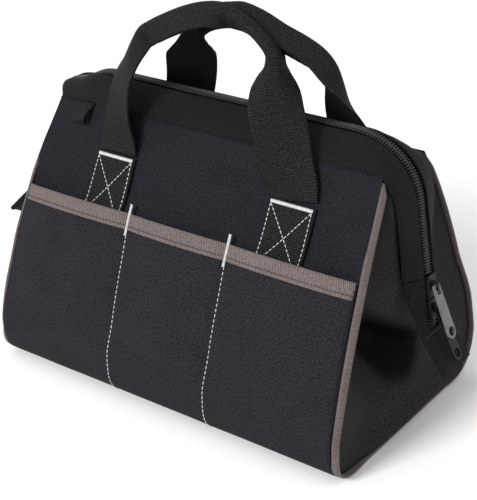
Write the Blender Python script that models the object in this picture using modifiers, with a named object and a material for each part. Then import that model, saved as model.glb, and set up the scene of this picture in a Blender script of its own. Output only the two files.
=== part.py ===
"""A soft tool bag: sloping front and rear walls with open pockets, a hipped top closed by a two-slider
zip that runs down both ends, and two webbing carrying handles.

Run with blender --background --python part.py, or from Blender's text editor. Lengths are metres.
+X runs along the bag to its right end, -Y is the front, +Z is up, and the origin is the middle of the
base, on the ground.
"""
import bpy
import bmesh
from math import atan2, ceil, cos, pi, radians, sin, sqrt, tan
from mathutils import Matrix, Vector

# Body of the bag
FOOT_HALF_LENGTH = 0.1615
EAVE_HALF_LENGTH = 0.1540
HALF_DEPTH = 0.1020
CORNER_RADIUS = 0.0340
FOOT_LEAN = radians(12.5)
EAVE_HEIGHT = 0.2130
EAVE_HALF_DEPTH = 0.0290
RIDGE_RISE = 0.0180
RIDGE_HEIGHT = EAVE_HEIGHT + RIDGE_RISE
FABRIC = 0.0022
SEAM_GAP = 0.0003
END_HOLLOW = 0.0085
WALL_SAG = 0.0050
SAG_EDGE = 0.0400
BOARD = 0.0030

# Where each end parts into a half on the front wall and a half on the rear wall
SPLIT_HEIGHT = 0.1330
GUSSET_TOP = 0.2020

# Zip path and the webbing on each side of it
ZIP_CORNER_RADIUS = 0.0500
ZIP_CORNER_X = 0.1197
TAIL_LEAN = radians(8.7)
TAIL_LENGTH = 0.1300
TAIL_BEND_RADIUS = 0.0220
LEFT_TAIL_STRAIGHT = 0.0615
RIGHT_TAB_LEAN = radians(37)
LEFT_TAB_LEAN = radians(60)
TAIL_HALF_WIDTH = 0.0190
CORNER_HALF_WIDTH = 0.0288
CORNER_DROP = 0.0042
TURNED_HALF_WIDTH = 0.0260
TURNED_DROP = 0.0050
SPLIT_HALF_WIDTH = 0.0195
SPLIT_DROP = 0.0110
WEBBING = 0.0020
WEBBING_SLOT = 0.0070
TAPE = 0.0008
TAPE_HALF_WIDTH = 0.0120
TAPE_SLIT = 0.0011
TAPE_GAP = 0.0008
CHAIN_HALF_WIDTH = 0.0043
CHAIN_THICKNESS = 0.0020
TOOTH_PITCH = 0.0080
TOOTH_REACH = 0.0011
TOOTH_ROOT = 0.0016
TAB_LENGTH = 0.0330

# Edge binding
BINDING_WIDTH = 0.0050
BINDING_THICKNESS = 0.0032
BINDING_SINK = 0.0002
BINDING_LAP = 0.0017
BINDING_HINGE_GAP = 0.0009
BINDING_STOP = 0.0055

# Pockets
POCKET_TOP = 0.1468
POCKET_FABRIC = 0.0016
POCKET_BULGE = 0.0070
POCKET_DIP = 0.0040
POCKET_DIVIDER = 0.0470
POCKET_ROUNDING_SHARE = 0.6
RIM_TAPE = 0.0008
RIM_HEIGHT = 0.0098
TACK_WIDTH = 0.0026
TACK_ABOVE = 0.0075
TACK_BELOW = 0.0048
TACK_THICKNESS = 0.0010

# Handles
HANDLE_X = 0.0830
HANDLE_WIDTH = 0.0400
HANDLE_ROOT_SHIFT = 0.0060
GRIP_SHIFT = -0.0040
HANDLE_HEM = 0.0030
HANDLE_WEB = 0.0020
PATCH_TOP = 0.1845
PATCH_BELOW_RIM = 0.0150
PATCH_TACK_HEIGHT = 0.0034
GRIP_WIDTH = 0.0210
GRIP_THICKNESS = 0.0060
GRIP_RISE = 0.1140
GRIP_HEIGHT = PATCH_TOP + GRIP_RISE
GRIP_HALF_DEPTH = 0.0125
HANDLE_SHOULDER_X = 0.0590
HANDLE_STATIONS = 34

# Key loop at the left of the front
LOOP_X = -0.1200
LOOP_WIDTH = 0.0130
LOOP_LENGTH = 0.0180
LOOP_OPENING = 0.0066
LOOP_WEB = 0.0015

# Sliders and pulls
SLIDER_SPACING = 0.0012
SLIDER_LENGTH = 0.0165
SLIDER_WIDTH = 0.0110
SLIDER_PLATE = 0.0014
SLIDER_CLEARANCE = 0.0004
SLIDER_FLANGE = 0.0011
SLIDER_TAPER_SHARE = 0.80
NECK_WIDTH = 0.0015
NECK_LENGTH = 0.0036
BACK_PLATE = 0.0012
LUG_LENGTH = 0.0068
LUG_WIDTH = 0.0020
LUG_HEIGHT = 0.0046
LUG_HOLE_RADIUS = 0.0015
PULL_LENGTH = 0.0420
PULL_WIDTH = 0.0105
PULL_NECK_WIDTH = 0.0080
PULL_THICKNESS = 0.0018
PULL_EYE_WIDTH = 0.0046
PULL_EYE_LENGTH = 0.0060
PULL_RING_RADIUS = 0.0036
PULL_ROUNDING_SHARE = 0.45
UPPER_PULL_LEAN = radians(23)
LOWER_PULL_LEAN = radians(28)

# Where the grip turns edge on and where it is folded double, as shares of the way to its middle
TURN_START_SHARE = 0.12
TURN_LENGTH_SHARE = 0.48
FOLD_START_SHARE = 0.34
FOLD_LENGTH_SHARE = 0.24

# The grip's shoulder and the pull of its curves, as shares of the spans they lie in
SHOULDER_DEPTH_SHARE = 0.84
SHOULDER_HEIGHT_SHARE = 0.78
FOOT_PULL_SHARE = 0.45
LEG_LEAN_SHARE = 0.22
LEG_PULL_SHARE = 0.35
CROWN_LEAN_SHARE = 0.25
CROWN_RISE_SHARE = 0.72
CROWN_PULL_SHARE = 0.62

# How finely the curves are drawn
FOOT_ROW_SHARES = (0, 0.1, 0.3, 0.6)
END_COLUMN_SHARES = (-1, -0.9, -0.7, -0.45, -0.2, 0, 0.2, 0.45, 0.7, 0.9, 1)
GUSSET_SHARES = (0, 0.2, 0.5, 0.8, 1)
BINDING_EDGE_SHARES = (0.3, 0.7)
HANDLE_SECTION_SHARES = ((1, 0), (0.86, 1), (0, 1), (-0.86, 1), (-1, 0), (-0.86, -1), (0, -1), (0.86, -1))
WALL_ROWS = 12
SAG_SHARES = (0.0, 0.25, 0.5, 0.75, 1.0)
ARC_ROWS = 8
POCKET_LOBE_COLUMNS = 7
RIM_ROUNDING = 0.0006
OVERRUN = 0.0020

FRONT, REAR = -1, 1
LEFT, RIGHT = -1, 1
SIDE_NAMES = {FRONT: "front", REAR: "rear"}
END_NAMES = {LEFT: "left", RIGHT: "right"}

ARC_CENTRE = HALF_DEPTH - CORNER_RADIUS
FOOT_HEIGHT = CORNER_RADIUS * (1 + sin(FOOT_LEAN))
FOOT_HALF_DEPTH = ARC_CENTRE + CORNER_RADIUS * cos(FOOT_LEAN)
WALL_RISE = EAVE_HEIGHT - FOOT_HEIGHT
WALL_CROWN = (FOOT_HALF_DEPTH - EAVE_HALF_DEPTH - tan(FOOT_LEAN) * WALL_RISE) / 4
HINGE_SHARE = SEAM_GAP / WALL_RISE

ZIP_CORNER_TURN = pi / 2 - TAIL_LEAN
ZIP_CORNER_LENGTH = ZIP_CORNER_RADIUS * ZIP_CORNER_TURN
TAIL_START = ZIP_CORNER_X + ZIP_CORNER_LENGTH
TAIL_TOP_X = ZIP_CORNER_X + ZIP_CORNER_RADIUS * cos(TAIL_LEAN)
TAIL_TOP_HEIGHT = RIDGE_HEIGHT - ZIP_CORNER_RADIUS * (1 - sin(TAIL_LEAN))
SPLIT_AT = TAIL_START + (TAIL_TOP_HEIGHT - SPLIT_HEIGHT) / cos(TAIL_LEAN)
ZIP_END = TAIL_START + TAIL_LENGTH

TAPE_DEPTH = CHAIN_THICKNESS + TAPE_GAP
FLANGE_HALF_LENGTH = SLIDER_LENGTH / 2 * SLIDER_TAPER_SHARE
UPPER_SLIDER_RUN = SPLIT_AT - TAIL_START + FLANGE_HALF_LENGTH + 4 * SEAM_GAP
LOWER_SLIDER_RUN = UPPER_SLIDER_RUN + SLIDER_LENGTH + SLIDER_SPACING
RIGHT_TAIL_STRAIGHT = LOWER_SLIDER_RUN + SLIDER_LENGTH / 2 + SEAM_GAP
TAIL_STRAIGHT = {LEFT: LEFT_TAIL_STRAIGHT, RIGHT: RIGHT_TAIL_STRAIGHT}
TAB_LEAN = {LEFT: LEFT_TAB_LEAN, RIGHT: RIGHT_TAB_LEAN}


def clamp(value):
    """Limit a share to 0..1."""
    return min(max(value, 0.0), 1.0)


def smooth(value):
    """Ease a share from 0 to 1."""
    value = clamp(value)
    return value * value * (3 - 2 * value)


def mix(low, high, share):
    """The value a share of the way from low to high."""
    return low + (high - low) * share


def steps(low, high, count):
    """Evenly spaced values from low to high."""
    return [mix(low, high, i / count) for i in range(count + 1)]


# Scene, collections and materials

def clear_scene():
    """Remove the objects of the open scene."""
    for item in list(bpy.data.objects):
        bpy.data.objects.remove(item)


def new_collection(name):
    """A collection of that name in the scene."""
    collection = bpy.data.collections.new(name)
    bpy.context.scene.collection.children.link(collection)
    return collection


def new_material(name, colour, roughness, metallic=0.0):
    """A plain Principled material."""
    material = bpy.data.materials.new(name)
    material.use_nodes = True
    shader = material.node_tree.nodes["Principled BSDF"]
    shader.inputs["Base Color"].default_value = (*colour, 1)
    shader.inputs["Roughness"].default_value = roughness
    shader.inputs["Metallic"].default_value = metallic
    return material


clear_scene()
BAG = new_collection("tool_bag")
CUTTERS = new_collection("cutters")
CLOTH = new_material("cloth", (0.020, 0.020, 0.024), 0.85)
WEB = new_material("webbing", (0.028, 0.027, 0.027), 0.80)
BINDING = new_material("binding_tape", (0.300, 0.240, 0.215), 0.80)
THREAD = new_material("thread", (0.600, 0.580, 0.560), 0.70)
COIL = new_material("zip_coil", (0.030, 0.030, 0.032), 0.45)
METAL = new_material("pull_metal", (0.180, 0.180, 0.190), 0.35, 1.0)
STIFFENER = new_material("stiffener", (0.050, 0.050, 0.050), 0.60)

PIVOT_PLACES = {
    "base": Vector((0, 0, 0)),
    "front_wall": Vector((0, FRONT * FOOT_HALF_DEPTH, FOOT_HEIGHT)),
    "rear_wall": Vector((0, REAR * FOOT_HALF_DEPTH, FOOT_HEIGHT)),
}
PIVOTS = {}


def new_pivot(name, parent=None):
    """An empty on a joint's axis, which carries the pieces that move with it."""
    empty = bpy.data.objects.new(name + "_pivot", None)
    empty.empty_display_size = CORNER_RADIUS
    BAG.objects.link(empty)
    origin = PIVOT_PLACES[parent] if parent else Vector((0, 0, 0))
    empty.location = PIVOT_PLACES[name] - origin
    if parent:
        empty.parent = PIVOTS[parent]
    PIVOTS[name] = empty


def add_piece(name, mesh, material, body):
    """Put a mesh modelled in place on the pivot of its body."""
    mesh.transform(Matrix.Translation(-PIVOT_PLACES[body]))
    piece = bpy.data.objects.new(name, mesh)
    piece.data.materials.append(material)
    piece.parent = PIVOTS[body]
    BAG.objects.link(piece)
    return piece


def add_solidify(piece, thickness):
    """Give an open surface its thickness, inwards from the face it was drawn on."""
    shell = piece.modifiers.new("thickness", "SOLIDIFY")
    shell.thickness = thickness
    shell.offset = -1
    shell.use_even_offset = True
    return shell


def sheet(name, rows, thickness, material, body, outward, skip=()):
    """A sheet of cloth or webbing: an open grid of points with a thickness behind it.

    outward is a direction on the side of its outer face. skip lists (row, column) cells to leave out.
    """
    build = bmesh.new()
    grid = [[build.verts.new(point) for point in row] for row in rows]
    for i in range(len(rows) - 1):
        for j in range(len(rows[0]) - 1):
            if (i, j) not in skip:
                build.faces.new((grid[i][j], grid[i][j + 1], grid[i + 1][j + 1], grid[i + 1][j]))
    bmesh.ops.delete(build, geom=[v for v in build.verts if not v.link_faces], context="VERTS")
    build.normal_update()
    facing = sum((face.normal * face.calc_area() for face in build.faces), Vector())
    if facing.dot(outward) < 0:
        bmesh.ops.reverse_faces(build, faces=build.faces)
    mesh = bpy.data.meshes.new(name)
    build.to_mesh(mesh)
    build.free()
    piece = add_piece(name, mesh, material, body)
    add_solidify(piece, thickness)
    return piece


def loft(name, rings, material, body, closed=False):
    """A solid through sections of equal point count, capped at both ends unless it closes on itself."""
    build = bmesh.new()
    loops = [[build.verts.new(point) for point in ring] for ring in rings]
    count = len(rings[0])
    spans = len(rings) if closed else len(rings) - 1
    for i in range(spans):
        near, far = loops[i], loops[(i + 1) % len(rings)]
        for j in range(count):
            k = (j + 1) % count
            build.faces.new((near[j], near[k], far[k], far[j]))
    if not closed:
        build.faces.new(loops[0])
        build.faces.new(reversed(loops[-1]))
    bmesh.ops.recalc_face_normals(build, faces=build.faces)
    mesh = bpy.data.meshes.new(name)
    build.to_mesh(mesh)
    build.free()
    return add_piece(name, mesh, material, body)


# Wall outline, seen from the end

def wall_outline(share):
    """Half depth and height of the wall's outer face, from its foot (0) to the eave (1)."""
    half_depth = mix(FOOT_HALF_DEPTH, EAVE_HALF_DEPTH, share) + 4 * WALL_CROWN * share * (1 - share)
    return half_depth, FOOT_HEIGHT + WALL_RISE * share


def wall_normal(share):
    """Outward direction of the wall, as (depth, height)."""
    run = EAVE_HALF_DEPTH - FOOT_HALF_DEPTH + 4 * WALL_CROWN * (1 - 2 * share)
    length = sqrt(run * run + WALL_RISE * WALL_RISE)
    return WALL_RISE / length, -run / length


def wall_point(side, x, share, out=0.0):
    """A point on the wall, out metres outside its outer face."""
    half_depth, height = wall_outline(share)
    depth_step, height_step = wall_normal(share)
    return Vector((x, side * (half_depth + out * depth_step), height + out * height_step))


def wall_share(height):
    """The wall's share at a height."""
    return (height - FOOT_HEIGHT) / WALL_RISE


def half_length(share):
    """Half the bag's length at the seam between wall and end."""
    return FOOT_HALF_LENGTH - (FOOT_HALF_LENGTH - EAVE_HALF_LENGTH) * clamp(share) ** 2


def wall_face(share, x=0.0):
    """How far the wall panel's outer face lies out from the wall outline.

    It sits in behind the pocket, and sags a little between the pocket and the eave, clear of its ends.
    """
    foot = -(POCKET_FABRIC + SEAM_GAP)
    mouth = wall_share(POCKET_TOP)
    sunk = mix(foot, -POCKET_DIP, smooth(share / (mouth / 4)))
    sag = WALL_SAG * sin(pi * clamp((share - mouth) / (1 - mouth)))
    sag *= smooth((half_length(share) - abs(x)) / SAG_EDGE)
    return mix(sunk, 0.0, smooth((share - mouth) / (mouth / 3))) - sag


def base_outline(angle, out=0.0):
    """Half depth and height on the lower corner, from straight down (0) round to the wall's foot."""
    radius = CORNER_RADIUS + out
    return ARC_CENTRE + radius * sin(angle), CORNER_RADIUS - radius * cos(angle)


def section_outline(out=0.0):
    """The bag's lower outline, from the front foot under the base to the rear foot, as (y, z)."""
    end_angle = pi / 2 + FOOT_LEAN - SEAM_GAP / CORNER_RADIUS
    angles = steps(0.0, end_angle, ARC_ROWS)
    rear = [base_outline(angle, out) for angle in angles]
    front = [(-y, z) for y, z in reversed(rear)]
    return front + rear


# Zip path, seen from the front

def zip_centre(at, end):
    """Point (x, z) on the zip's ridge line and its lean, at a length along it from the middle."""
    if at <= ZIP_CORNER_X:
        return end * at, RIDGE_HEIGHT, -pi / 2
    if at <= TAIL_START:
        turn = (at - ZIP_CORNER_X) / ZIP_CORNER_RADIUS
        x = ZIP_CORNER_X + ZIP_CORNER_RADIUS * sin(turn)
        return end * x, RIDGE_HEIGHT - ZIP_CORNER_RADIUS * (1 - cos(turn)), turn - pi / 2
    straight = TAIL_STRAIGHT[end]
    down = at - TAIL_START
    run = min(down, straight)
    x = TAIL_TOP_X + run * sin(TAIL_LEAN)
    z = TAIL_TOP_HEIGHT - run * cos(TAIL_LEAN)
    lean = -TAIL_LEAN
    if down > straight:
        most = TAB_LEAN[end] - TAIL_LEAN
        turn = min((down - straight) / TAIL_BEND_RADIUS, most)
        x += TAIL_BEND_RADIUS * (cos(TAIL_LEAN) - cos(TAIL_LEAN + turn))
        z -= TAIL_BEND_RADIUS * (sin(TAIL_LEAN + turn) - sin(TAIL_LEAN))
        lean = -TAIL_LEAN - turn
        left_over = down - straight - most * TAIL_BEND_RADIUS
        if left_over > 0:
            x += left_over * sin(TAB_LEAN[end])
            z -= left_over * cos(TAB_LEAN[end])
    return end * x, z, lean


def zip_normal(at, end):
    """Outward direction of the zip in the x-z plane."""
    lean = zip_centre(at, end)[2]
    return Vector((end * cos(lean), 0, -sin(lean)))


def tab_start(end):
    """Length along the zip at which its tail runs straight again as a flat tab."""
    return TAIL_START + TAIL_STRAIGHT[end] + (TAB_LEAN[end] - TAIL_LEAN) * TAIL_BEND_RADIUS


def zip_edge(at, end):
    """Half width of the webbing strip and how far its edge drops below the ridge."""
    table = (
        (ZIP_CORNER_X, EAVE_HALF_DEPTH, RIDGE_HEIGHT - EAVE_HEIGHT),
        ((ZIP_CORNER_X + TAIL_START) / 2, CORNER_HALF_WIDTH, CORNER_DROP),
        (TAIL_START, TURNED_HALF_WIDTH, TURNED_DROP),
        (SPLIT_AT, SPLIT_HALF_WIDTH, SPLIT_DROP),
        (tab_start(end), TAIL_HALF_WIDTH, 0.0),
    )
    if at <= table[0][0]:
        return table[0][1], table[0][2]
    for (near, near_width, near_drop), (far, far_width, far_drop) in zip(table, table[1:]):
        if at <= far:
            share = smooth((at - near) / (far - near))
            return mix(near_width, far_width, share), mix(near_drop, far_drop, share)
    return table[-1][1], table[-1][2]


def zip_slope(at, end):
    """Angle at which the strip slopes away on each side of the flat middle."""
    half_width, drop = zip_edge(at, end)
    return atan2(drop, half_width - WEBBING_SLOT)


def zip_strip_width(at, end):
    """Length from the zip's middle over the fold to the strip's edge."""
    half_width, drop = zip_edge(at, end)
    return WEBBING_SLOT + sqrt((half_width - WEBBING_SLOT) ** 2 + drop ** 2)


def zip_point(at, end, side, across, out=0.0):
    """A point on the strip, across metres from its middle and out metres above its outer face."""
    x, z, _ = zip_centre(at, end)
    up = zip_normal(at, end)
    slope = zip_slope(at, end)
    sideways = Vector((0, side, 0))
    tilted = up * cos(slope) + sideways * sin(slope)
    point = Vector((x, 0, z)) + sideways * min(across, WEBBING_SLOT)
    if across > WEBBING_SLOT:
        beyond = across - WEBBING_SLOT
        return point + (sideways * cos(slope) - up * sin(slope)) * beyond + tilted * out
    if across == WEBBING_SLOT:
        return point + (up + tilted).normalized() * out / cos(slope / 2)
    return point + up * out


def zip_stations(end_margin=0.0):
    """Lengths along one half of the zip down to the split, closer together round the corner."""
    corner = steps(ZIP_CORNER_X, TAIL_START, ARC_ROWS)
    tail = steps(TAIL_START, SPLIT_AT - end_margin, 4)
    return [ZIP_CORNER_X * share for share in (0, 0.5)] + corner + tail[1:]


def whole_zip(make_row, margin):
    """Rows from the left split over the top to the right split."""
    half = zip_stations(margin)
    left = [make_row(at, LEFT) for at in reversed(half[1:])]
    return left + [make_row(at, RIGHT) for at in half]


# Base of the bag

def make_base():
    """The bottom panel, which turns up round both lower corners, and the board on it."""
    inset = FOOT_HALF_LENGTH - BINDING_LAP - SEAM_GAP
    rows = [[Vector((x, y, z)) for x in steps(-inset, inset, 2)] for y, z in section_outline()]
    sheet("base_panel", rows, FABRIC, CLOTH, "base", Vector((0, 0, -1)))
    bpy.ops.mesh.primitive_cube_add(size=1)
    board = bpy.context.object
    board.name = "base_board"
    length = inset - 2 * SEAM_GAP - (FABRIC - BINDING_LAP)
    size = Vector((2 * length, 2 * ARC_CENTRE, BOARD))
    board.data.transform(Matrix.Diagonal(size).to_4x4())
    board.location = (0, 0, FABRIC + SEAM_GAP + BOARD / 2)
    for collection in list(board.users_collection):
        collection.objects.unlink(board)
    BAG.objects.link(board)
    board.data.materials.append(STIFFENER)
    board.parent = PIVOTS["base"]


def edge_depth():
    """How far inside the wall outline the end panel's edge lies, clear of the binding."""
    return BINDING_SINK + BINDING_THICKNESS + 2 * SEAM_GAP


def end_half_width(height):
    """Half the width of the end panel at a height."""
    if height < FOOT_HEIGHT:
        radius = CORNER_RADIUS - edge_depth()
        rise = min(max(CORNER_RADIUS - height, -radius), radius)
        return ARC_CENTRE + sqrt(radius ** 2 - rise ** 2)
    share = wall_share(height)
    return wall_outline(share)[0] - edge_depth() / wall_normal(share)[0]


def strip_edge(height):
    """Half width and x of the zip strip's outer edge at a height on the right-hand end."""
    low, high = ZIP_CORNER_X, SPLIT_AT
    for _ in range(30):
        middle = (low + high) / 2
        _, drop = zip_edge(middle, RIGHT)
        x, z, _ = zip_centre(middle, RIGHT)
        edge = Vector((x, 0, z)) - zip_normal(middle, RIGHT) * drop
        low, high = (middle, high) if edge.z > height else (low, middle)
    return zip_edge(low, RIGHT)[0], edge.x


def hollow(height, across):
    """How far the end sinks in between the strip and the corner seams."""
    return END_HOLLOW * sin(pi * clamp(height / (1.5 * SPLIT_HEIGHT))) * sin(pi * clamp(across)) ** 2


def make_end_panel(end):
    """The whole part of an end, below the foot of the zip."""
    name = END_NAMES[end] + "_end_panel"
    bottom = FABRIC + SEAM_GAP + edge_depth() / 3
    top = SPLIT_HEIGHT - SEAM_GAP
    heights = [mix(bottom, CORNER_RADIUS, share) for share in FOOT_ROW_SHARES] + \
        steps(CORNER_RADIUS, top, 6)
    strip_half_width, strip_x = strip_edge(SPLIT_HEIGHT)
    proud = strip_x - WEBBING - 4 * SEAM_GAP - half_length(wall_share(SPLIT_HEIGHT))
    rows = []
    for height in heights:
        grown = clamp((height - 2 * CORNER_RADIUS) / (SPLIT_HEIGHT - 2 * CORNER_RADIUS))
        middle = strip_half_width * grown
        half_width = end_half_width(height)
        row = []
        for y in [half_width * share for share in END_COLUMN_SHARES]:
            across = clamp((abs(y) - middle) / (half_width - middle))
            x = half_length(wall_share(height)) + proud * grown * (1 - smooth(across))
            row.append(Vector((end * (x - hollow(height, across)), y, height)))
        rows.append(row)
    sheet(name, rows, FABRIC, CLOTH, "base", Vector((end, 0, 0)))


def make_gusset(side, end):
    """The upper part of an end on one side of the zip, which folds out with its wall."""
    body = SIDE_NAMES[side] + "_wall"
    name = f"{SIDE_NAMES[side]}_{END_NAMES[end]}_gusset"
    rows = []
    for height in steps(SPLIT_HEIGHT + SEAM_GAP, GUSSET_TOP, 6):
        strip_half_width, strip_x = strip_edge(height)
        near, far = strip_half_width + 3 * SEAM_GAP, end_half_width(height)
        seam = half_length(wall_share(height))
        row = []
        for share in GUSSET_SHARES:
            x = mix(strip_x, seam, smooth(share)) - hollow(height, share)
            row.append(Vector((end * x, side * mix(near, far, share), height)))
        rows.append(row)
    sheet(name, rows, FABRIC, CLOTH, body, Vector((end, 0, 0)))


# Edge binding

def binding_ring(end, seam_x, outer, inner):
    """Section of the binding at one place, from its outer and inner face points."""
    near = seam_x - BINDING_LAP
    far = near + BINDING_WIDTH
    corner = RIM_ROUNDING
    first, second = BINDING_EDGE_SHARES
    places = ((near, 0), (far - corner, 0), (far, first), (far, second), (far - corner, 1), (near, 1))
    ring = []
    for x, share in places:
        point = outer.lerp(inner, share)
        ring.append(Vector((end * x, point.y, point.z)))
    return ring


def make_base_binding(end):
    """The tape round the foot of an end, from wall to wall under the base."""
    outer = section_outline(-BINDING_SINK)
    inner = section_outline(-BINDING_SINK - BINDING_THICKNESS)
    rings = []
    for (y, z), (inner_y, inner_z) in zip(outer, inner):
        rings.append(binding_ring(end, FOOT_HALF_LENGTH, Vector((0, y, z)), Vector((0, inner_y, inner_z))))
    loft(END_NAMES[end] + "_base_binding", rings, BINDING, "base")


def make_wall_binding(side, end):
    """The tape up a wall's edge, from the fold at its foot to the eave."""
    start = (BINDING_HINGE_GAP + SEAM_GAP) / WALL_RISE
    rings = []
    for share in steps(start, 1 - BINDING_STOP / WALL_RISE, WALL_ROWS):
        outer = wall_point(side, 0, share, -BINDING_SINK)
        inner = wall_point(side, 0, share, -BINDING_SINK - BINDING_THICKNESS)
        rings.append(binding_ring(end, half_length(share), outer, inner))
    name = f"{SIDE_NAMES[side]}_{END_NAMES[end]}_binding"
    loft(name, rings, BINDING, SIDE_NAMES[side] + "_wall")


# Walls and pockets

def make_wall_panel(side):
    """The front or rear wall behind its pockets."""
    rows = []
    for share in steps(HINGE_SHARE, 1 - 4 * HINGE_SHARE, 3 * WALL_ROWS // 2):
        reach = half_length(share) - FABRIC - 2 * SEAM_GAP
        columns = [reach - SAG_EDGE * ease_share for ease_share in SAG_SHARES]
        columns = [-x for x in columns] + columns[::-1]
        rows.append([wall_point(side, x, share, wall_face(share, x)) for x in columns])
    name = SIDE_NAMES[side] + "_wall_panel"
    sheet(name, rows, FABRIC, CLOTH, SIDE_NAMES[side] + "_wall", Vector((0, side, 0)))


def pocket_columns():
    """Shares of the half length at which the pocket is drawn, with each lobe's share across itself."""
    reach = FOOT_HALF_LENGTH - BINDING_LAP - SEAM_GAP
    seam = TACK_WIDTH / 2 + SEAM_GAP
    sewn = reach - FABRIC
    lobes = ((-sewn, -POCKET_DIVIDER - seam), (-POCKET_DIVIDER + seam, POCKET_DIVIDER - seam),
             (POCKET_DIVIDER + seam, sewn))
    columns = [(-reach, 0.0)]
    for low, high in lobes:
        for share in steps(0.0, 1.0, POCKET_LOBE_COLUMNS):
            columns.append((mix(low, high, share), share))
    return columns + [(reach, 0.0)]


def pocket_inner_face(share, lobe):
    """How far the pocket's inner face lies out from the wall outline."""
    top = wall_share(POCKET_TOP)
    fade = smooth(share / (top / 3))
    bulge = POCKET_BULGE * max(sin(pi * lobe), 0.0) ** POCKET_ROUNDING_SHARE
    rim_foot = top - (RIM_HEIGHT + SEAM_GAP) / WALL_RISE
    lift = (RIM_TAPE + SEAM_GAP) * smooth(1 - (rim_foot - share) / (rim_foot / 4))
    return wall_face(min(share, top)) + SEAM_GAP + lift + bulge * fade


def pocket_x(x, share):
    """Draw a column in with the seam as the wall narrows."""
    if abs(x) <= POCKET_DIVIDER:
        return x
    foot = FOOT_HALF_LENGTH - BINDING_LAP - SEAM_GAP
    here = half_length(share) - BINDING_LAP - SEAM_GAP
    beyond = (abs(x) - POCKET_DIVIDER) * (here - POCKET_DIVIDER) / (foot - POCKET_DIVIDER)
    return (POCKET_DIVIDER + beyond) * (1 if x > 0 else -1)


def make_pocket_panel(side):
    """The outer panel sewn on at its ends, foot and two dividers, open along its top."""
    top = wall_share(POCKET_TOP) - RIM_ROUNDING / WALL_RISE
    rows = []
    for share in steps(HINGE_SHARE, top, 8):
        row = []
        for x, lobe in pocket_columns():
            out = pocket_inner_face(share, lobe) + POCKET_FABRIC
            row.append(wall_point(side, pocket_x(x, share), share, out))
        rows.append(row)
    name = SIDE_NAMES[side] + "_pocket_panel"
    sheet(name, rows, POCKET_FABRIC, CLOTH, SIDE_NAMES[side] + "_wall", Vector((0, side, 0)))


def make_pocket_binding(side):
    """The tape folded over the pocket's top edge."""
    top = wall_share(POCKET_TOP)
    rings = []
    for x, lobe in pocket_columns():
        inner = pocket_inner_face(top, lobe)
        low = top - RIM_HEIGHT / WALL_RISE
        crest = top + (SEAM_GAP + RIM_TAPE) / WALL_RISE
        under = top + SEAM_GAP / 2 / WALL_RISE
        outside = inner + POCKET_FABRIC + SEAM_GAP
        inside = inner - SEAM_GAP
        section = ((outside, low), (outside + RIM_TAPE, low), (outside + RIM_TAPE, crest),
                   (inside - RIM_TAPE, crest), (inside - RIM_TAPE, low), (inside, low),
                   (inside, under), (outside, under))
        limit = half_length(top) - FABRIC - 3 * SEAM_GAP
        x = min(max(pocket_x(x, top), -limit), limit)
        rings.append([wall_point(side, x, share, out) for out, share in section])
    loft(SIDE_NAMES[side] + "_pocket_binding", rings, BINDING, SIDE_NAMES[side] + "_wall")


def tack_bar(name, side, x_low, x_high, stations):
    """A dense bar of stitches on the wall, through stations of share and height off its outline."""
    rings = []
    for share, out in stations:
        over = out + TACK_THICKNESS
        corners = ((x_low, out), (x_high, out), (x_high, over), (x_low, over))
        rings.append([wall_point(side, x, share, level) for x, level in corners])
    return loft(name, rings, THREAD, SIDE_NAMES[side] + "_wall")


def make_pocket_tacks(side):
    """The bar of stitches over the pocket's edge at each divider."""
    top = wall_share(POCKET_TOP)
    gap = 2 * SEAM_GAP / WALL_RISE
    rim_foot = top - RIM_HEIGHT / WALL_RISE
    crest = top + (SEAM_GAP + RIM_TAPE) / WALL_RISE
    low, high = rim_foot - TACK_BELOW / WALL_RISE, top + TACK_ABOVE / WALL_RISE
    on_rim = pocket_inner_face(top, 0.0) + POCKET_FABRIC + 2 * SEAM_GAP + RIM_TAPE
    stations = [(share, pocket_inner_face(share, 0.0) + POCKET_FABRIC + SEAM_GAP)
                for share in steps(low, rim_foot - 2 * gap, 2)]
    stations += [(share, on_rim) for share in steps(rim_foot - gap, crest + gap, 3)]
    off_rim = crest + gap + on_rim / WALL_RISE + POCKET_DIP / WALL_RISE
    stations += [(share, wall_face(share) + SEAM_GAP) for share in steps(off_rim, high, 2)]
    for end in (LEFT, RIGHT):
        x = end * POCKET_DIVIDER
        name = f"{SIDE_NAMES[side]}_{END_NAMES[end]}_pocket_tack"
        tack_bar(name, side, x - TACK_WIDTH / 2, x + TACK_WIDTH / 2, stations)


# Handles

def handle_foot_x(end):
    """Middle of a handle's webbing where it is sewn on, which lies a little towards the right end."""
    return end * HANDLE_X + HANDLE_ROOT_SHIFT


def make_patch(side, end):
    """The end of a handle's webbing, sewn flat on the wall and down behind the pocket's edge."""
    low = wall_share(POCKET_TOP - PATCH_BELOW_RIM)
    high = wall_share(PATCH_TOP)
    rows = []
    for share in steps(low, high, WALL_ROWS):
        out = wall_face(share) + SEAM_GAP + HANDLE_WEB
        middle = handle_foot_x(end)
        edges = (middle - HANDLE_WIDTH / 2, middle + HANDLE_WIDTH / 2)
        rows.append([wall_point(side, x, share, out) for x in edges])
    name = f"{SIDE_NAMES[side]}_{END_NAMES[end]}_patch"
    sheet(name, rows, HANDLE_WEB, WEB, SIDE_NAMES[side] + "_wall", Vector((0, side, 0)))


def make_patch_tack(side, end):
    """The wide bar of stitches across a patch's top."""
    high = wall_share(PATCH_TOP) - 2 * SEAM_GAP / WALL_RISE
    low = high - PATCH_TACK_HEIGHT / WALL_RISE
    stations = [(share, wall_face(share) + HANDLE_WEB + 2 * SEAM_GAP) for share in (low, high)]
    half = HANDLE_WIDTH / 2 - HANDLE_HEM
    middle = handle_foot_x(end)
    name = f"{SIDE_NAMES[side]}_{END_NAMES[end]}_patch_tack"
    tack_bar(name, side, middle - half, middle + half, stations)


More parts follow.
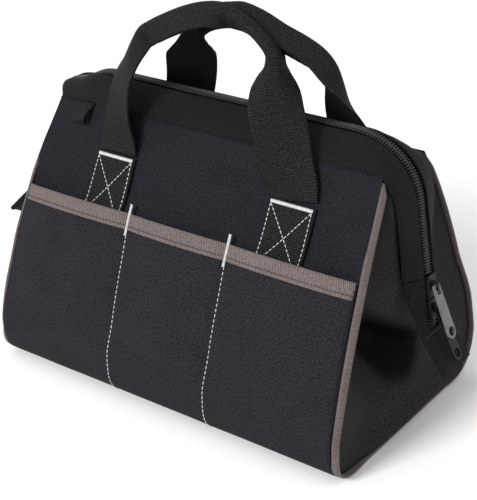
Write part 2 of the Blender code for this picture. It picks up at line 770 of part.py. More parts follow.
def handle_root(side):
    """Joint axis of a handle, just off its webbing at the top of the patches.

    It lies far enough out for the webbing to fold down over the bar of stitches below it.
    """
    share = wall_share(PATCH_TOP)
    return wall_point(side, 0, share, wall_face(share) + SEAM_GAP + HANDLE_WEB + handle_proud())


def handle_proud():
    """How far a handle's axis lies off the outer face of its webbing."""
    return (TACK_THICKNESS + 4 * SEAM_GAP) / 2


def handle_path(side):
    """Centre line, from the left patch up over the grip to the right patch, as smooth curves."""
    root = handle_root(side)
    foot = Vector((HANDLE_X, root.y - side * (handle_proud() + HANDLE_WEB / 2), root.z + 4 * SEAM_GAP))
    top = Vector((0, side * GRIP_HALF_DEPTH, GRIP_HEIGHT))
    shoulder = Vector((HANDLE_SHOULDER_X, mix(foot.y, top.y, SHOULDER_DEPTH_SHARE),
                       mix(foot.z, top.z, SHOULDER_HEIGHT_SHARE)))
    climb = shoulder.z - foot.z
    leg = (foot, foot + Vector((0, 0, climb * FOOT_PULL_SHARE)),
           shoulder + Vector(((HANDLE_X - HANDLE_SHOULDER_X) * LEG_LEAN_SHARE, 0, -climb * LEG_PULL_SHARE)),
           shoulder)
    rise = top.z - shoulder.z
    grip = (shoulder, shoulder + Vector((-rise * CROWN_LEAN_SHARE, 0, rise * CROWN_RISE_SHARE)),
            top + Vector((HANDLE_SHOULDER_X * CROWN_PULL_SHARE, 0, 0)), top)
    count = HANDLE_STATIONS // 4
    right = [bezier(leg, i / count) for i in range(count)] + \
        [bezier(grip, i / count) for i in range(count + 1)]
    left = [Vector((-p.x, p.y, p.z)) for p in right]
    path = left + right[-2::-1]
    for point in path:
        risen = smooth((point.z - foot.z) / climb)
        point.x += mix(HANDLE_ROOT_SHIFT, GRIP_SHIFT, risen * risen)
    return path


def bezier(controls, share):
    """A point on a cubic curve with these four controls."""
    a, b, c, d = controls
    rest = 1 - share
    return a * rest ** 3 + b * (3 * rest * rest * share) + c * (3 * rest * share * share) + d * share ** 3


def make_handle(side):
    """One carrying handle: flat webbing that turns edge on as it rises and is folded double at the grip."""
    path = handle_path(side)
    count = len(path) - 1
    lengths = [0.0]
    for near, far in zip(path, path[1:]):
        lengths.append(lengths[-1] + (far - near).length)
    rings = []
    for i, point in enumerate(path):
        along = (path[min(i + 1, count)] - path[max(i - 1, 0)]).normalized()
        from_end = min(lengths[i], lengths[-1] - lengths[i]) / (lengths[-1] / 2)
        turn = smooth((from_end - TURN_START_SHARE) / TURN_LENGTH_SHARE)
        fold = smooth((from_end - FOLD_START_SHARE) / FOLD_LENGTH_SHARE)
        flat = Vector((LEFT if i < count / 2 else RIGHT, 0, 0))
        width_way = flat * cos(turn * pi / 2) + Vector((0, -side, 0)) * sin(turn * pi / 2)
        width_way = (width_way - along * width_way.dot(along)).normalized()
        thin_way = along.cross(width_way)
        half_width = mix(HANDLE_WIDTH, GRIP_WIDTH, fold) / 2
        half_thickness = mix(HANDLE_WEB, GRIP_THICKNESS, fold) / 2
        rings.append(handle_ring(point, width_way, thin_way, half_width, half_thickness))
    name = SIDE_NAMES[side] + "_handle"
    return loft(name, rings, WEB, name)


def handle_ring(point, width_way, thin_way, half_width, half_thickness):
    """Flat section with rounded edges."""
    return [point + width_way * half_width * wide + thin_way * half_thickness * thick
            for wide, thick in HANDLE_SECTION_SHARES]


# Key loop

def make_key_loop():
    """A closed loop of narrow webbing under the front eave."""
    top = 1 - 6 * HINGE_SHARE
    inner_round = LOOP_OPENING / 2 + LOOP_WEB
    straight = LOOP_LENGTH - 2 * inner_round
    outline = []
    for angle in steps(0, pi, 5):
        outline.append((inner_round * sin(angle) + straight, inner_round * cos(angle)))
    for angle in steps(pi, 2 * pi, 5):
        outline.append((inner_round * sin(angle), inner_round * cos(angle)))
    rings = []
    base_out = SEAM_GAP + inner_round
    for down, out in outline:
        share = top - (down + inner_round) / WALL_RISE
        scale = (inner_round - LOOP_WEB) / inner_round
        middle = straight if down > straight else (0.0 if down < 0 else down)
        inner_share = top - (middle + (down - middle) * scale + inner_round) / WALL_RISE
        inner_out = base_out + out * scale
        outer_out = base_out + out + wall_face(share, LOOP_X)
        inner_out += wall_face(inner_share, LOOP_X)
        ring = [wall_point(FRONT, LOOP_X, share, outer_out),
                wall_point(FRONT, LOOP_X + LOOP_WIDTH, share, outer_out),
                wall_point(FRONT, LOOP_X + LOOP_WIDTH, inner_share, inner_out),
                wall_point(FRONT, LOOP_X, inner_share, inner_out)]
        rings.append(ring)
    loft("key_loop", rings, WEB, "front_wall", closed=True)


# Zip: webbing, tape and chain

def make_top_band(side):
    """The webbing on one side of the zip, along the top and down both ends to the split."""
    margin = SEAM_GAP

    def row(at, end):
        places = (WEBBING_SLOT + SEAM_GAP, TAPE_HALF_WIDTH + SEAM_GAP, zip_strip_width(at, end))
        return [zip_point(at, end, side, across) for across in places]

    name = SIDE_NAMES[side] + "_top_band"
    sheet(name, whole_zip(row, margin), WEBBING, WEB, SIDE_NAMES[side] + "_wall", Vector((0, 0, 1)))


def make_zip_tape(side):
    """The woven tape that carries one half of the chain."""
    def row(at, end):
        return [zip_point(at, end, side, across, -TAPE_DEPTH)
                for across in (TAPE_SLIT, WEBBING_SLOT, TAPE_HALF_WIDTH)]

    name = SIDE_NAMES[side] + "_zip_tape"
    sheet(name, whole_zip(row, SEAM_GAP), TAPE, CLOTH, SIDE_NAMES[side] + "_wall", Vector((0, 0, 1)))


def chain_rows(side, end, start, finish, meshed):
    """Stations of one half of the chain on one end: its inner edge runs out and in as teeth."""
    tip = -TOOTH_REACH if meshed else TAPE_SLIT
    root = TOOTH_ROOT if meshed else TAPE_SLIT + TOOTH_REACH + TOOTH_ROOT / 2
    shift = 0.5 if (side == FRONT) == (end == RIGHT) else 0.0
    flank = 0.5 * SEAM_GAP
    half_tooth = TOOTH_PITCH / 4 - 1.5 * SEAM_GAP
    stations = []
    first = ceil(start / TOOTH_PITCH - shift)
    number = first
    while (number + shift) * TOOTH_PITCH + TOOTH_PITCH / 2 < finish:
        middle = (number + shift) * TOOTH_PITCH
        if middle - TOOTH_PITCH / 2 >= start:
            stations += [(middle - half_tooth - flank, root), (middle - half_tooth, tip),
                         (middle + half_tooth, tip), (middle + half_tooth + flank, root)]
        number += 1
    return [(start, root)] + stations + [(finish, root)]


def chain_row(at, end, side, inner):
    """One station of the chain, from its outer edge to its inner edge."""
    return [zip_point(at, end, side, CHAIN_HALF_WIDTH), zip_point(at, end, side, inner)]


def make_zip_chain(side):
    """Half of the chain on one wall: meshed teeth on top, parted on the ends where the sliders run."""
    rows = []
    parted = ZIP_CORNER_X + ZIP_CORNER_LENGTH / 2
    for end in (LEFT, RIGHT):
        top = chain_rows(side, end, 0.0, parted, True)
        tail = chain_rows(side, end, parted + OVERRUN, SPLIT_AT - SEAM_GAP, False)
        half = [chain_row(at, end, side, inner) for at, inner in top + tail]
        rows = rows + half[1:] if end == RIGHT else list(reversed(half))
    name = SIDE_NAMES[side] + "_zip_chain"
    sheet(name, rows, CHAIN_THICKNESS, COIL, SIDE_NAMES[side] + "_wall", Vector((0, 0, 1)))


def tail_stations(end, margin=0.0):
    """Lengths along the free tail, closer together round its bend."""
    straight = TAIL_START + TAIL_STRAIGHT[end]
    bend = steps(straight, tab_start(end), ARC_ROWS // 2)
    run = steps(SPLIT_AT + SEAM_GAP, straight, ARC_ROWS // 2)
    return sorted(run[:-1] + bend + [ZIP_END - TAB_LENGTH, ZIP_END - margin])


def make_tail(end):
    """The free end of the zip: webbing with a slot, closed at the tab, over its own tape and chain."""
    label = END_NAMES[end]
    outward = Vector((end, 0, 0))
    rows = []
    for at in tail_stations(end):
        places = (WEBBING_SLOT + SEAM_GAP, TAPE_HALF_WIDTH + SEAM_GAP, zip_strip_width(at, end))
        front, rear = ([zip_point(at, end, side, across) for across in places] for side in (FRONT, REAR))
        rows.append(front[::-1] + rear)
    slot_rows = tail_stations(end).index(ZIP_END - TAB_LENGTH)
    slot_cells = [(i, 2) for i in range(slot_rows)]
    sheet(label + "_zip_tail", rows, WEBBING, WEB, "base", outward, slot_cells)
    for side in (FRONT, REAR):
        rows = []
        for at in tail_stations(end, TAB_LENGTH / 2):
            places = (TAPE_SLIT, WEBBING_SLOT, TAPE_HALF_WIDTH)
            rows.append([zip_point(at, end, side, across, -TAPE_DEPTH) for across in places])
        sheet(f"{label}_{SIDE_NAMES[side]}_tail_tape", rows, TAPE, CLOTH, "base", outward)
        stations = chain_rows(side, end, SPLIT_AT + SEAM_GAP, ZIP_END - TAB_LENGTH - SEAM_GAP, False)
        rows = [chain_row(at, end, side, inner) for at, inner in stations]
        sheet(f"{label}_{SIDE_NAMES[side]}_tail_chain", rows, CHAIN_THICKNESS, COIL, "base", outward)


# Sliders and pulls

def slider_place(run):
    """Point on the right tail's ridge line, run metres below its top."""
    x, z, _ = zip_centre(TAIL_START + run, RIGHT)
    return Vector((x, 0, z))


def lug_axis():
    """How far the pull's bar lies above the chain's face."""
    return SLIDER_CLEARANCE + SLIDER_PLATE + LUG_HEIGHT / 2


def pull_axis(run):
    """Joint axis of the pull on the slider at that place."""
    return slider_place(run) + Vector((cos(TAIL_LEAN), 0, sin(TAIL_LEAN))) * lug_axis()


def block(name, low, high, collection=None):
    """A box between two corners, in the slider's own axes: X out from the chain, Z up along it."""
    bpy.ops.mesh.primitive_cube_add(size=1)
    box = bpy.context.object
    box.name = name
    size = Vector(high) - Vector(low)
    middle = (Vector(high) + Vector(low)) / 2
    box.data.transform(Matrix.Translation(middle) @ Matrix.Diagonal(size).to_4x4())
    move_to(box, collection or CUTTERS)
    return box


def rod(name, radius, length, centre, axis="Y", collection=None):
    """A cylinder across a piece."""
    turn = Matrix.Rotation(pi / 2, 4, "X") if axis == "Y" else Matrix.Rotation(pi / 2, 4, "Y")
    bpy.ops.mesh.primitive_cylinder_add(vertices=16, radius=radius, depth=length)
    cylinder = bpy.context.object
    cylinder.name = name
    cylinder.data.transform(Matrix.Translation(Vector(centre)) @ turn)
    move_to(cylinder, collection or CUTTERS)
    return cylinder


def move_to(item, collection):
    """Put an object in one collection only, marked as a guide where that is the cutters'."""
    for other in list(item.users_collection):
        other.objects.unlink(item)
    collection.objects.link(item)
    if collection == CUTTERS:
        item.hide_render = True
        item.display_type = "WIRE"


def combine(target, operation, helper):
    """Join a helper to a piece, or cut it out."""
    step = target.modifiers.new(operation.lower(), "BOOLEAN")
    step.operation = operation
    step.solver = "EXACT"
    step.object = helper


def attach(piece, body, offset, lean):
    """Hang a piece modelled in its own axes on a pivot."""
    piece.rotation_euler = (0, lean, 0)
    piece.location = offset
    piece.parent = PIVOTS[body]


def make_slider(body, neck_up):
    """A slider: plate over the chain, flanges down to the tape, neck through the slit, plate behind."""
    name = body
    half_length_along = SLIDER_LENGTH / 2
    half_width = SLIDER_WIDTH / 2
    low, high = SLIDER_CLEARANCE, SLIDER_CLEARANCE + SLIDER_PLATE
    plate = block(name, (low, -half_width, -half_length_along), (high, half_width, half_length_along), BAG)
    for vertex in plate.data.vertices:
        away = vertex.co.z > 0 if neck_up < 0 else vertex.co.z < 0
        if away:
            vertex.co.y *= SLIDER_TAPER_SHARE
    plate.data.materials.append(METAL)
    flange_foot = -CHAIN_THICKNESS + SEAM_GAP
    flange_half = half_length_along * SLIDER_TAPER_SHARE
    parts = []
    for side in (FRONT, REAR):
        near = CHAIN_HALF_WIDTH + SEAM_GAP
        ys = sorted((side * near, side * (near + SLIDER_FLANGE * SLIDER_TAPER_SHARE)))
        parts.append(block(f"{name}_flange_{SIDE_NAMES[side]}", (flange_foot, ys[0], -flange_half),
                           (high - SLIDER_PLATE / 3, ys[1], flange_half)))
    neck_end = neck_up * (half_length_along - SEAM_GAP)
    neck = sorted((neck_end, neck_end - neck_up * NECK_LENGTH))
    back_face = -TAPE_DEPTH - TAPE - SEAM_GAP
    parts.append(block(name + "_neck", (back_face - BACK_PLATE / 2, -NECK_WIDTH / 2, neck[0]),
                       (low + SLIDER_PLATE / 2, NECK_WIDTH / 2, neck[1])))
    parts.append(block(name + "_back", (back_face - BACK_PLATE, -half_width * SLIDER_TAPER_SHARE,
                                        -half_length_along * SLIDER_TAPER_SHARE - SEAM_GAP),
                       (back_face, half_width * SLIDER_TAPER_SHARE, half_length_along - SEAM_GAP)
                       if neck_up > 0 else
                       (back_face, half_width * SLIDER_TAPER_SHARE, half_length_along * SLIDER_TAPER_SHARE)))
    if neck_up < 0:
        back = parts[-1]
        for vertex in back.data.vertices:
            if vertex.co.z < 0:
                vertex.co.z = -half_length_along + SEAM_GAP
    parts.append(block(name + "_lug", (high - SLIDER_PLATE / 2, -LUG_WIDTH / 2, -LUG_LENGTH / 2),
                       (high + LUG_HEIGHT, LUG_WIDTH / 2, LUG_LENGTH / 2)))
    for part in parts:
        part.parent = plate
        combine(plate, "UNION", part)
    hole = rod(name + "_lug_hole", LUG_HOLE_RADIUS, LUG_WIDTH + OVERRUN, (lug_axis(), 0, 0))
    hole.parent = plate
    combine(plate, "DIFFERENCE", hole)
    attach(plate, body, (0, 0, 0), -TAIL_LEAN)


def make_pull(body, lean):
    """A pull: flat plate hanging from its bar, with an eye round the slider's lug and a ring hole."""
    half = PULL_THICKNESS / 2
    bar = half
    end = bar - PULL_LENGTH
    plate = block(body, (-half, -PULL_WIDTH / 2, end), (half, PULL_WIDTH / 2, bar), BAG)
    edit = bmesh.new()
    edit.from_mesh(plate.data)
    for vertex in edit.verts:
        if vertex.co.z > 0:
            vertex.co.y *= PULL_NECK_WIDTH / PULL_WIDTH
    corners = [edge for edge in edit.edges if abs(edge.verts[0].co.y - edge.verts[1].co.y) < SEAM_GAP
               and abs(edge.verts[0].co.z - edge.verts[1].co.z) < SEAM_GAP]
    low = [edge for edge in corners if edge.verts[0].co.z < 0]
    high = [edge for edge in corners if edge.verts[0].co.z > 0]
    bmesh.ops.bevel(edit, geom=low, offset=PULL_WIDTH * PULL_ROUNDING_SHARE, segments=4, profile=0.5,
                    affect="EDGES")
    high = [edge for edge in high if edge.is_valid]
    bmesh.ops.bevel(edit, geom=high, offset=PULL_THICKNESS, segments=2, profile=0.5, affect="EDGES")
    edit.to_mesh(plate.data)
    edit.free()
    plate.data.materials.append(METAL)
    eye = block(body + "_eye", (-half - OVERRUN, -PULL_EYE_WIDTH / 2, -bar - PULL_EYE_LENGTH),
                (half + OVERRUN, PULL_EYE_WIDTH / 2, -bar))
    ring = rod(body + "_ring_hole", PULL_RING_RADIUS, PULL_THICKNESS + OVERRUN,
               (0, 0, end + PULL_WIDTH / 2), "X")
    for cutter in (eye, ring):
        cutter.parent = plate
        combine(plate, "DIFFERENCE", cutter)
    attach(plate, body, (0, 0, 0), -lean)


def make_pivots():
    """Every joint axis, with what it is carried on."""
    PIVOT_PLACES["front_handle"] = handle_root(FRONT)
    PIVOT_PLACES["rear_handle"] = handle_root(REAR)
    PIVOT_PLACES["lower_slider"] = slider_place(LOWER_SLIDER_RUN)
    PIVOT_PLACES["upper_slider"] = slider_place(UPPER_SLIDER_RUN)
    PIVOT_PLACES["lower_pull"] = pull_axis(LOWER_SLIDER_RUN)
    PIVOT_PLACES["upper_pull"] = pull_axis(UPPER_SLIDER_RUN)
    new_pivot("base")
    new_pivot("front_wall", "base")
    new_pivot("rear_wall", "base")
    new_pivot("front_handle", "front_wall")
    new_pivot("rear_handle", "rear_wall")
    new_pivot("lower_slider", "base")
    new_pivot("upper_slider", "lower_slider")
    new_pivot("lower_pull", "lower_slider")
    new_pivot("upper_pull", "upper_slider")


def make_bag():
    """Every piece of the bag."""
    make_pivots()
    make_base()
    for end in (LEFT, RIGHT):
        make_end_panel(end)
        make_base_binding(end)
        make_tail(end)
    for side in (FRONT, REAR):
        make_wall_panel(side)
        make_pocket_panel(side)
        make_pocket_binding(side)
        make_pocket_tacks(side)
        make_top_band(side)
        make_zip_tape(side)
        make_zip_chain(side)
        make_handle(side)
        for end in (LEFT, RIGHT):
            make_gusset(side, end)
            make_wall_binding(side, end)
            make_patch(side, end)
            make_patch_tack(side, end)
    make_key_loop()
    make_slider("lower_slider", 1)
    make_slider("upper_slider", -1)
    make_pull("lower_pull", LOWER_PULL_LEAN)
    make_pull("upper_pull", UPPER_PULL_LEAN)


make_bag()
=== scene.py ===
"""Looks of a soft tool bag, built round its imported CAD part. Lengths are metres, in the part's frame."""
from bisect import bisect_right
from math import atan2, ceil, cos, exp, pi, radians, sin, sqrt, tan

import bmesh
import bpy
from mathutils import Euler, Matrix, Vector, noise


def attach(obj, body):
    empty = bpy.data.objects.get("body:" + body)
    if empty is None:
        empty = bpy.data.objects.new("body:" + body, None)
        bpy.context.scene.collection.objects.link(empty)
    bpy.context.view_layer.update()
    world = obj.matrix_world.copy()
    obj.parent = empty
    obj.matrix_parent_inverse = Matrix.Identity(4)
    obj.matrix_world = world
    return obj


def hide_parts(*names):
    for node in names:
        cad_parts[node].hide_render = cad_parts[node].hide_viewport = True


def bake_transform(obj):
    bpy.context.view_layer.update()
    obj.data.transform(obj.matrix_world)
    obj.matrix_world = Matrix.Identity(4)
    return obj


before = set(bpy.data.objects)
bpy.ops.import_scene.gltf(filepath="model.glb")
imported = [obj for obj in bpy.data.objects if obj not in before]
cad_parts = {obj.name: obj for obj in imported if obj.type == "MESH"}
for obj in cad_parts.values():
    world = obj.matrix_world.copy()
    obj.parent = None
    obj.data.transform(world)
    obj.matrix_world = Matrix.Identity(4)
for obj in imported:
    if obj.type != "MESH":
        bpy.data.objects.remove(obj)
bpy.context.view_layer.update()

FRONT, REAR, LEFT, RIGHT = -1, 1, -1, 1
SIDES = {FRONT: "front", REAR: "rear"}
ENDS = {LEFT: "left", RIGHT: "right"}

# The part's own sizes
FOOT_HALF_LENGTH, EAVE_HALF_LENGTH, HALF_DEPTH = 0.1615, 0.154, 0.102
CORNER_RADIUS, FOOT_LEAN = 0.034, radians(12.5)
EAVE_HEIGHT, EAVE_HALF_DEPTH, RIDGE_HEIGHT = 0.213, 0.029, 0.231
FABRIC, GAP, SPLIT_HEIGHT = 0.0022, 0.0003, 0.133
TURN_RADIUS, ZIP_CORNER_X = 0.05, 0.1197
TAIL_LEAN, TAIL_LENGTH, BEND_RADIUS, TAB_LENGTH = radians(8.7), 0.13, 0.022, 0.033
TAIL_STRAIGHT = {LEFT: 0.048, RIGHT: 0.09039}
TAB_LEAN = {LEFT: radians(46), RIGHT: radians(37)}
TAIL_HALF_WIDTH, CORNER_HALF_WIDTH, CORNER_DROP = 0.019, 0.0288, 0.0042
TURNED_HALF_WIDTH, TURNED_DROP, SPLIT_HALF_WIDTH, SPLIT_DROP = 0.026, 0.005, 0.0195, 0.011
WEBBING, SLOT, TAPE, TAPE_DEPTH = 0.002, 0.007, 0.0008, 0.0028
POCKET_TOP, POCKET_FABRIC, POCKET_BULGE, POCKET_DIP, DIVIDER = 0.1468, 0.0016, 0.007, 0.004, 0.047
RIM_TAPE, RIM_HEIGHT, BINDING_LAP = 0.0008, 0.0098, 0.0017
HANDLE_X, HANDLE_ROOT_SHIFT, HANDLE_WIDTH, HANDLE_WEB, PATCH_TOP = 0.083, 0.006, 0.04, 0.002, 0.1845
LOOP_X, LOOP_WIDTH = -0.12, 0.013

ARC_CENTRE, ARC_TURN = HALF_DEPTH - CORNER_RADIUS, pi / 2 + FOOT_LEAN
FOOT_HEIGHT = CORNER_RADIUS * (1 + sin(FOOT_LEAN))
FOOT_HALF_DEPTH = ARC_CENTRE + CORNER_RADIUS * cos(FOOT_LEAN)
RISE = EAVE_HEIGHT - FOOT_HEIGHT
WALL_CROWN = (FOOT_HALF_DEPTH - EAVE_HALF_DEPTH - tan(FOOT_LEAN) * RISE) / 4
TAIL_START = ZIP_CORNER_X + TURN_RADIUS * (pi / 2 - TAIL_LEAN)
TAIL_TOP_HEIGHT = RIDGE_HEIGHT - TURN_RADIUS * (1 - sin(TAIL_LEAN))
SPLIT_AT = TAIL_START + (TAIL_TOP_HEIGHT - SPLIT_HEIGHT) / cos(TAIL_LEAN)
ZIP_END = TAIL_START + TAIL_LENGTH
TAB_START = {end: TAIL_START + TAIL_STRAIGHT[end] + (TAB_LEAN[end] - TAIL_LEAN) * BEND_RADIUS
             for end in ENDS}
# Half width of the strip beside the zip and how far its edge drops, at metres along the zip
ZIP_EDGES = {end: ((ZIP_CORNER_X, EAVE_HALF_DEPTH, RIDGE_HEIGHT - EAVE_HEIGHT),
                   ((ZIP_CORNER_X + TAIL_START) / 2, CORNER_HALF_WIDTH, CORNER_DROP),
                   (TAIL_START, TURNED_HALF_WIDTH, TURNED_DROP), (SPLIT_AT, SPLIT_HALF_WIDTH, SPLIT_DROP),
                   (TAB_START[end], TAIL_HALF_WIDTH, 0.0)) for end in ENDS}
MOUTH = (POCKET_TOP - FOOT_HEIGHT) / RISE
POCKET_REACH = FOOT_HALF_LENGTH - BINDING_LAP - GAP

# How the cloth lies: the walls' sag and the foot's fill, and how the left end leans, as (height, distance)
WALL_SAG, SAG_EDGE, FOOT_FILL, FOOT_PRESS, END_HOLLOW = 0.005, 0.04, 0.12, 0.0004, 0.0075
LEFT_LEAN = ((0.05, -0.0022), (0.1, 0.0006), (0.15, 0.0036), (0.213, 0.0088), (0.32, 0.0088))
CORNER_SWELL = 0.0026
# An end's fold: its depth, where its ledge begins, the ledge's slant, and the line its painted shade follows
PIT_DEPTH, LEDGE_Y, LEDGE_Z, LEDGE_FALL, LEDGE_RUN = 0.029, -0.06, 0.122, 0.561, 0.828
PAINTED_SHADE_START, PAINTED_SHADE_LINE = Vector((-0.052, 0.118)), Vector((0.059, -0.062))
EDGE_DEPTH = 0.0034 + 2 * GAP
BULGE_HEIGHT, BULGE = 0.0095, 0.0068


def clamp(value):
    return min(max(value, 0.0), 1.0)


def smooth(value):
    value = clamp(value)
    return value * value * (3 - 2 * value)


def mix(low, high, share):
    return low + (high - low) * share


def steps(low, high, count):
    return [mix(low, high, i / count) for i in range(count + 1)]


def eased(table, at):
    """The values at a place in a table of (place, value, ...), eased between its rows."""
    if at <= table[0][0]:
        return table[0][1:]
    for (near, *low), (far, *high) in zip(table, table[1:]):
        if at <= far:
            share = smooth((at - near) / (far - near))
            return [mix(a, b, share) for a, b in zip(low, high)]
    return table[-1][1:]


def circle(count):
    return [(cos(angle), sin(angle)) for angle in steps(0, 2 * pi, count)[:-1]]


def bisected(low, high, short_of):
    """Where short_of turns from true to false."""
    for _ in range(24):
        middle = (low + high) / 2
        low, high = (middle, high) if short_of(middle) else (low, middle)
    return low


def label(side, end):
    return f"{SIDES[side]}_{ENDS[end]}"


# Forms of the part

def wall_outline(share):
    half_depth = mix(FOOT_HALF_DEPTH, EAVE_HALF_DEPTH, share) + 4 * WALL_CROWN * share * (1 - share)
    return half_depth, FOOT_HEIGHT + RISE * share


def wall_way(side, share):
    """The direction straight out of a wall."""
    run = EAVE_HALF_DEPTH - FOOT_HALF_DEPTH + 4 * WALL_CROWN * (1 - 2 * share)
    return Vector((0, side * RISE, -run)).normalized()


def wall_point(side, x, share, out=0.0):
    half_depth, height = wall_outline(share)
    return Vector((x, side * half_depth, height)) + out * wall_way(side, share)


def on_wall(side, x, share, out):
    return wall_point(side, x, share, out), wall_way(side, share)


def wall_share(height):
    return (height - FOOT_HEIGHT) / RISE


def half_length(share):
    return mix(FOOT_HALF_LENGTH, EAVE_HALF_LENGTH, clamp(share) ** 2)


def wall_face(share, x=0.0):
    """How far the wall cloth lies out: in behind the pockets, with a sag above them."""
    sunk = mix(-POCKET_FABRIC - GAP, -POCKET_DIP, smooth(share / (MOUTH / 4)))
    sag = WALL_SAG * sin(pi * clamp((share - MOUTH) / (1 - MOUTH)))
    sag *= smooth((half_length(share) - abs(x)) / SAG_EDGE)
    return mix(sunk, 0.0, smooth((share - MOUTH) / (MOUTH / 3))) - sag


def base_outline(angle, out=0.0):
    """The rounded foot, filled out a little by the load."""
    radius = CORNER_RADIUS * (1 + (FOOT_FILL * sin(2 * angle) ** 2 if angle < pi / 2 else 0)) + out
    return ARC_CENTRE + radius * sin(angle), CORNER_RADIUS - radius * cos(angle)


def foot_way(side, angle):
    return Vector((0, side * sin(angle), -cos(angle)))


def foot_point(side, x, angle, out=0.0):
    y, z = base_outline(angle)
    return Vector((x, side * (y - FOOT_PRESS * sin(angle) ** 2), z)) + out * foot_way(side, angle)


def zip_centre(at, end):
    """x, height and lean of the zip at metres along it."""
    flat = min(at, ZIP_CORNER_X)
    turn = min((at - flat) / TURN_RADIUS, pi / 2 - TAIL_LEAN)
    down = max(at - TAIL_START, 0)
    run = min(down, TAIL_STRAIGHT[end])
    bend = min((down - run) / BEND_RADIUS, TAB_LEAN[end] - TAIL_LEAN)
    tab = down - run - bend * BEND_RADIUS
    lean, bent = pi / 2 - turn + bend, TAIL_LEAN + bend
    x = flat + TURN_RADIUS * sin(turn) + run * sin(TAIL_LEAN) + tab * sin(bent)
    fall = TURN_RADIUS * (1 - cos(turn)) + run * cos(TAIL_LEAN) + tab * cos(bent)
    x += BEND_RADIUS * (cos(TAIL_LEAN) - cos(bent))
    fall += BEND_RADIUS * (sin(bent) - sin(TAIL_LEAN))
    return end * x, RIDGE_HEIGHT - fall, -lean


def zip_normal(at, end):
    lean = zip_centre(at, end)[2]
    return Vector((end * cos(lean), 0, -sin(lean)))


def zip_strip_width(at, end):
    half_width, drop = eased(ZIP_EDGES[end], at)
    return SLOT + sqrt((half_width - SLOT) ** 2 + drop ** 2)


def left_corner(turn):
    """How far the left corner stands out, with its knee and flat, and how far its edge is tucked."""
    knee = 0.01 * exp(-((turn - 0.93) / 0.19) ** 2)
    full = 0.0012 * sin(pi * clamp((turn + 0.15) / 1.5)) ** 2 + knee - 0.003 * smooth((turn - 1.15) / 0.2)
    return full, 0.0105 * smooth((turn - 0.62) / 0.3) * (1 - smooth((turn - 1.0) / 0.25))


def zip_point(at, end, side, across, out=0.0):
    """A point on the strip beside the zip, across metres from its middle."""
    x, z, _ = zip_centre(at, end)
    up = zip_normal(at, end)
    half_width, drop = eased(ZIP_EDGES[end], at)
    if end == LEFT:
        full, tuck = left_corner((at - ZIP_CORNER_X) / TURN_RADIUS)
        x += up.x * full + tuck * smooth((across - 0.009) / (half_width - 0.009))
        z += up.z * full
        z -= 0.55 * side * across * smooth((at - TAB_START[LEFT] + 0.012) / 0.022)
    slope = atan2(drop, half_width - SLOT)
    sideways = Vector((0, side, 0))
    tilted = up * cos(slope) + sideways * sin(slope)
    ease = smooth((across - SLOT) / 0.004 + 0.5)
    point = Vector((x, 0, z)) + sideways * min(across, SLOT) + up.lerp(tilted, ease).normalized() * out
    return point + (sideways * cos(slope) - up * sin(slope)) * max(across - SLOT, 0.0)


def end_half_width(height):
    if height < FOOT_HEIGHT:
        angle = bisected(0.0, ARC_TURN, lambda angle: base_outline(angle, -EDGE_DEPTH)[1] < height)
        return base_outline(angle, -EDGE_DEPTH)[0]
    share = wall_share(height)
    return wall_outline(share)[0] - EDGE_DEPTH / wall_way(REAR, share).y


def strip_edge(height):
    """Half width and x of the strip's edge where it is at a height of the right tail."""
    def edge(at):
        x, z, _ = zip_centre(at, RIGHT)
        half_width, drop = eased(ZIP_EDGES[RIGHT], at)
        return Vector((x, half_width, z)) - zip_normal(at, RIGHT) * drop

    place = edge(bisected(ZIP_CORNER_X, SPLIT_AT, lambda at: edge(at).z > height))
    return place.y, place.x


def pit(y, height):
    """The fold where an end's cloth turns in under a slanting ledge, deepest below its middle."""
    run, drop = y - LEDGE_Y, height - LEDGE_Z
    below = -LEDGE_FALL * run - LEDGE_RUN * drop
    along = LEDGE_RUN * run - LEDGE_FALL * drop
    depth = smooth((below + 0.003) / 0.014) * (1 - smooth((below - 0.014) / 0.052))
    depth *= smooth(along / 0.042) * (1 - smooth((along - 0.072) / 0.055))
    return PIT_DEPTH * depth * smooth((height - 0.012) / 0.03)


def pocket_inner_face(share, lobe):
    """How far a pocket's inside lies out, at a share of its width."""
    bulge = POCKET_BULGE * max(sin(pi * lobe), 0.0) ** 0.6
    rim_foot = MOUTH - (RIM_HEIGHT + GAP) / RISE
    lift = (RIM_TAPE + GAP) * smooth(1 - (rim_foot - share) / (rim_foot / 4))
    return wall_face(min(share, MOUTH)) + GAP + lift + bulge * smooth(share / (MOUTH / 3))


def pocket_x(x, share):
    """Where a place across the pockets' foot lies higher up."""
    if abs(x) <= DIVIDER:
        return x
    here = half_length(share) - BINDING_LAP - GAP
    beyond = (abs(x) - DIVIDER) * (here - DIVIDER) / (POCKET_REACH - DIVIDER)
    return (DIVIDER + beyond) * (1 if x > 0 else -1)


def settled(point):
    """Where use has moved the cloth: the left end leans in above, and the rear right edge swells."""
    x, y, z = point
    lean = smooth((-x - 0.06) / 0.09) * eased(LEFT_LEAN, z)[0]
    swell = CORNER_SWELL * smooth((x - 0.07) / 0.08) * smooth((y - 0.03) / 0.045) * smooth(z / 0.04)
    swell *= mix(0.8, -0.3, smooth((z - 0.07) / 0.05)) * (1 - smooth((z - 0.195) / 0.02))
    return Vector((x + lean + swell, y + swell, z))


# Mesh helpers

def running_lengths(points):
    lengths = [0.0]
    for near, far in zip(points, points[1:]):
        lengths.append(lengths[-1] + (far - near).length)
    return lengths


def fill(item, **settings):
    """Gives an item several settings."""
    for setting, value in settings.items():
        setattr(item, setting, value)
    return item


def add_object(name, data):
    item = bpy.data.objects.new(name, data)
    bpy.context.scene.collection.objects.link(item)
    return item


def way_at(points, i):
    return (points[min(i + 1, len(points) - 1)] - points[max(i - 1, 0)]).normalized()


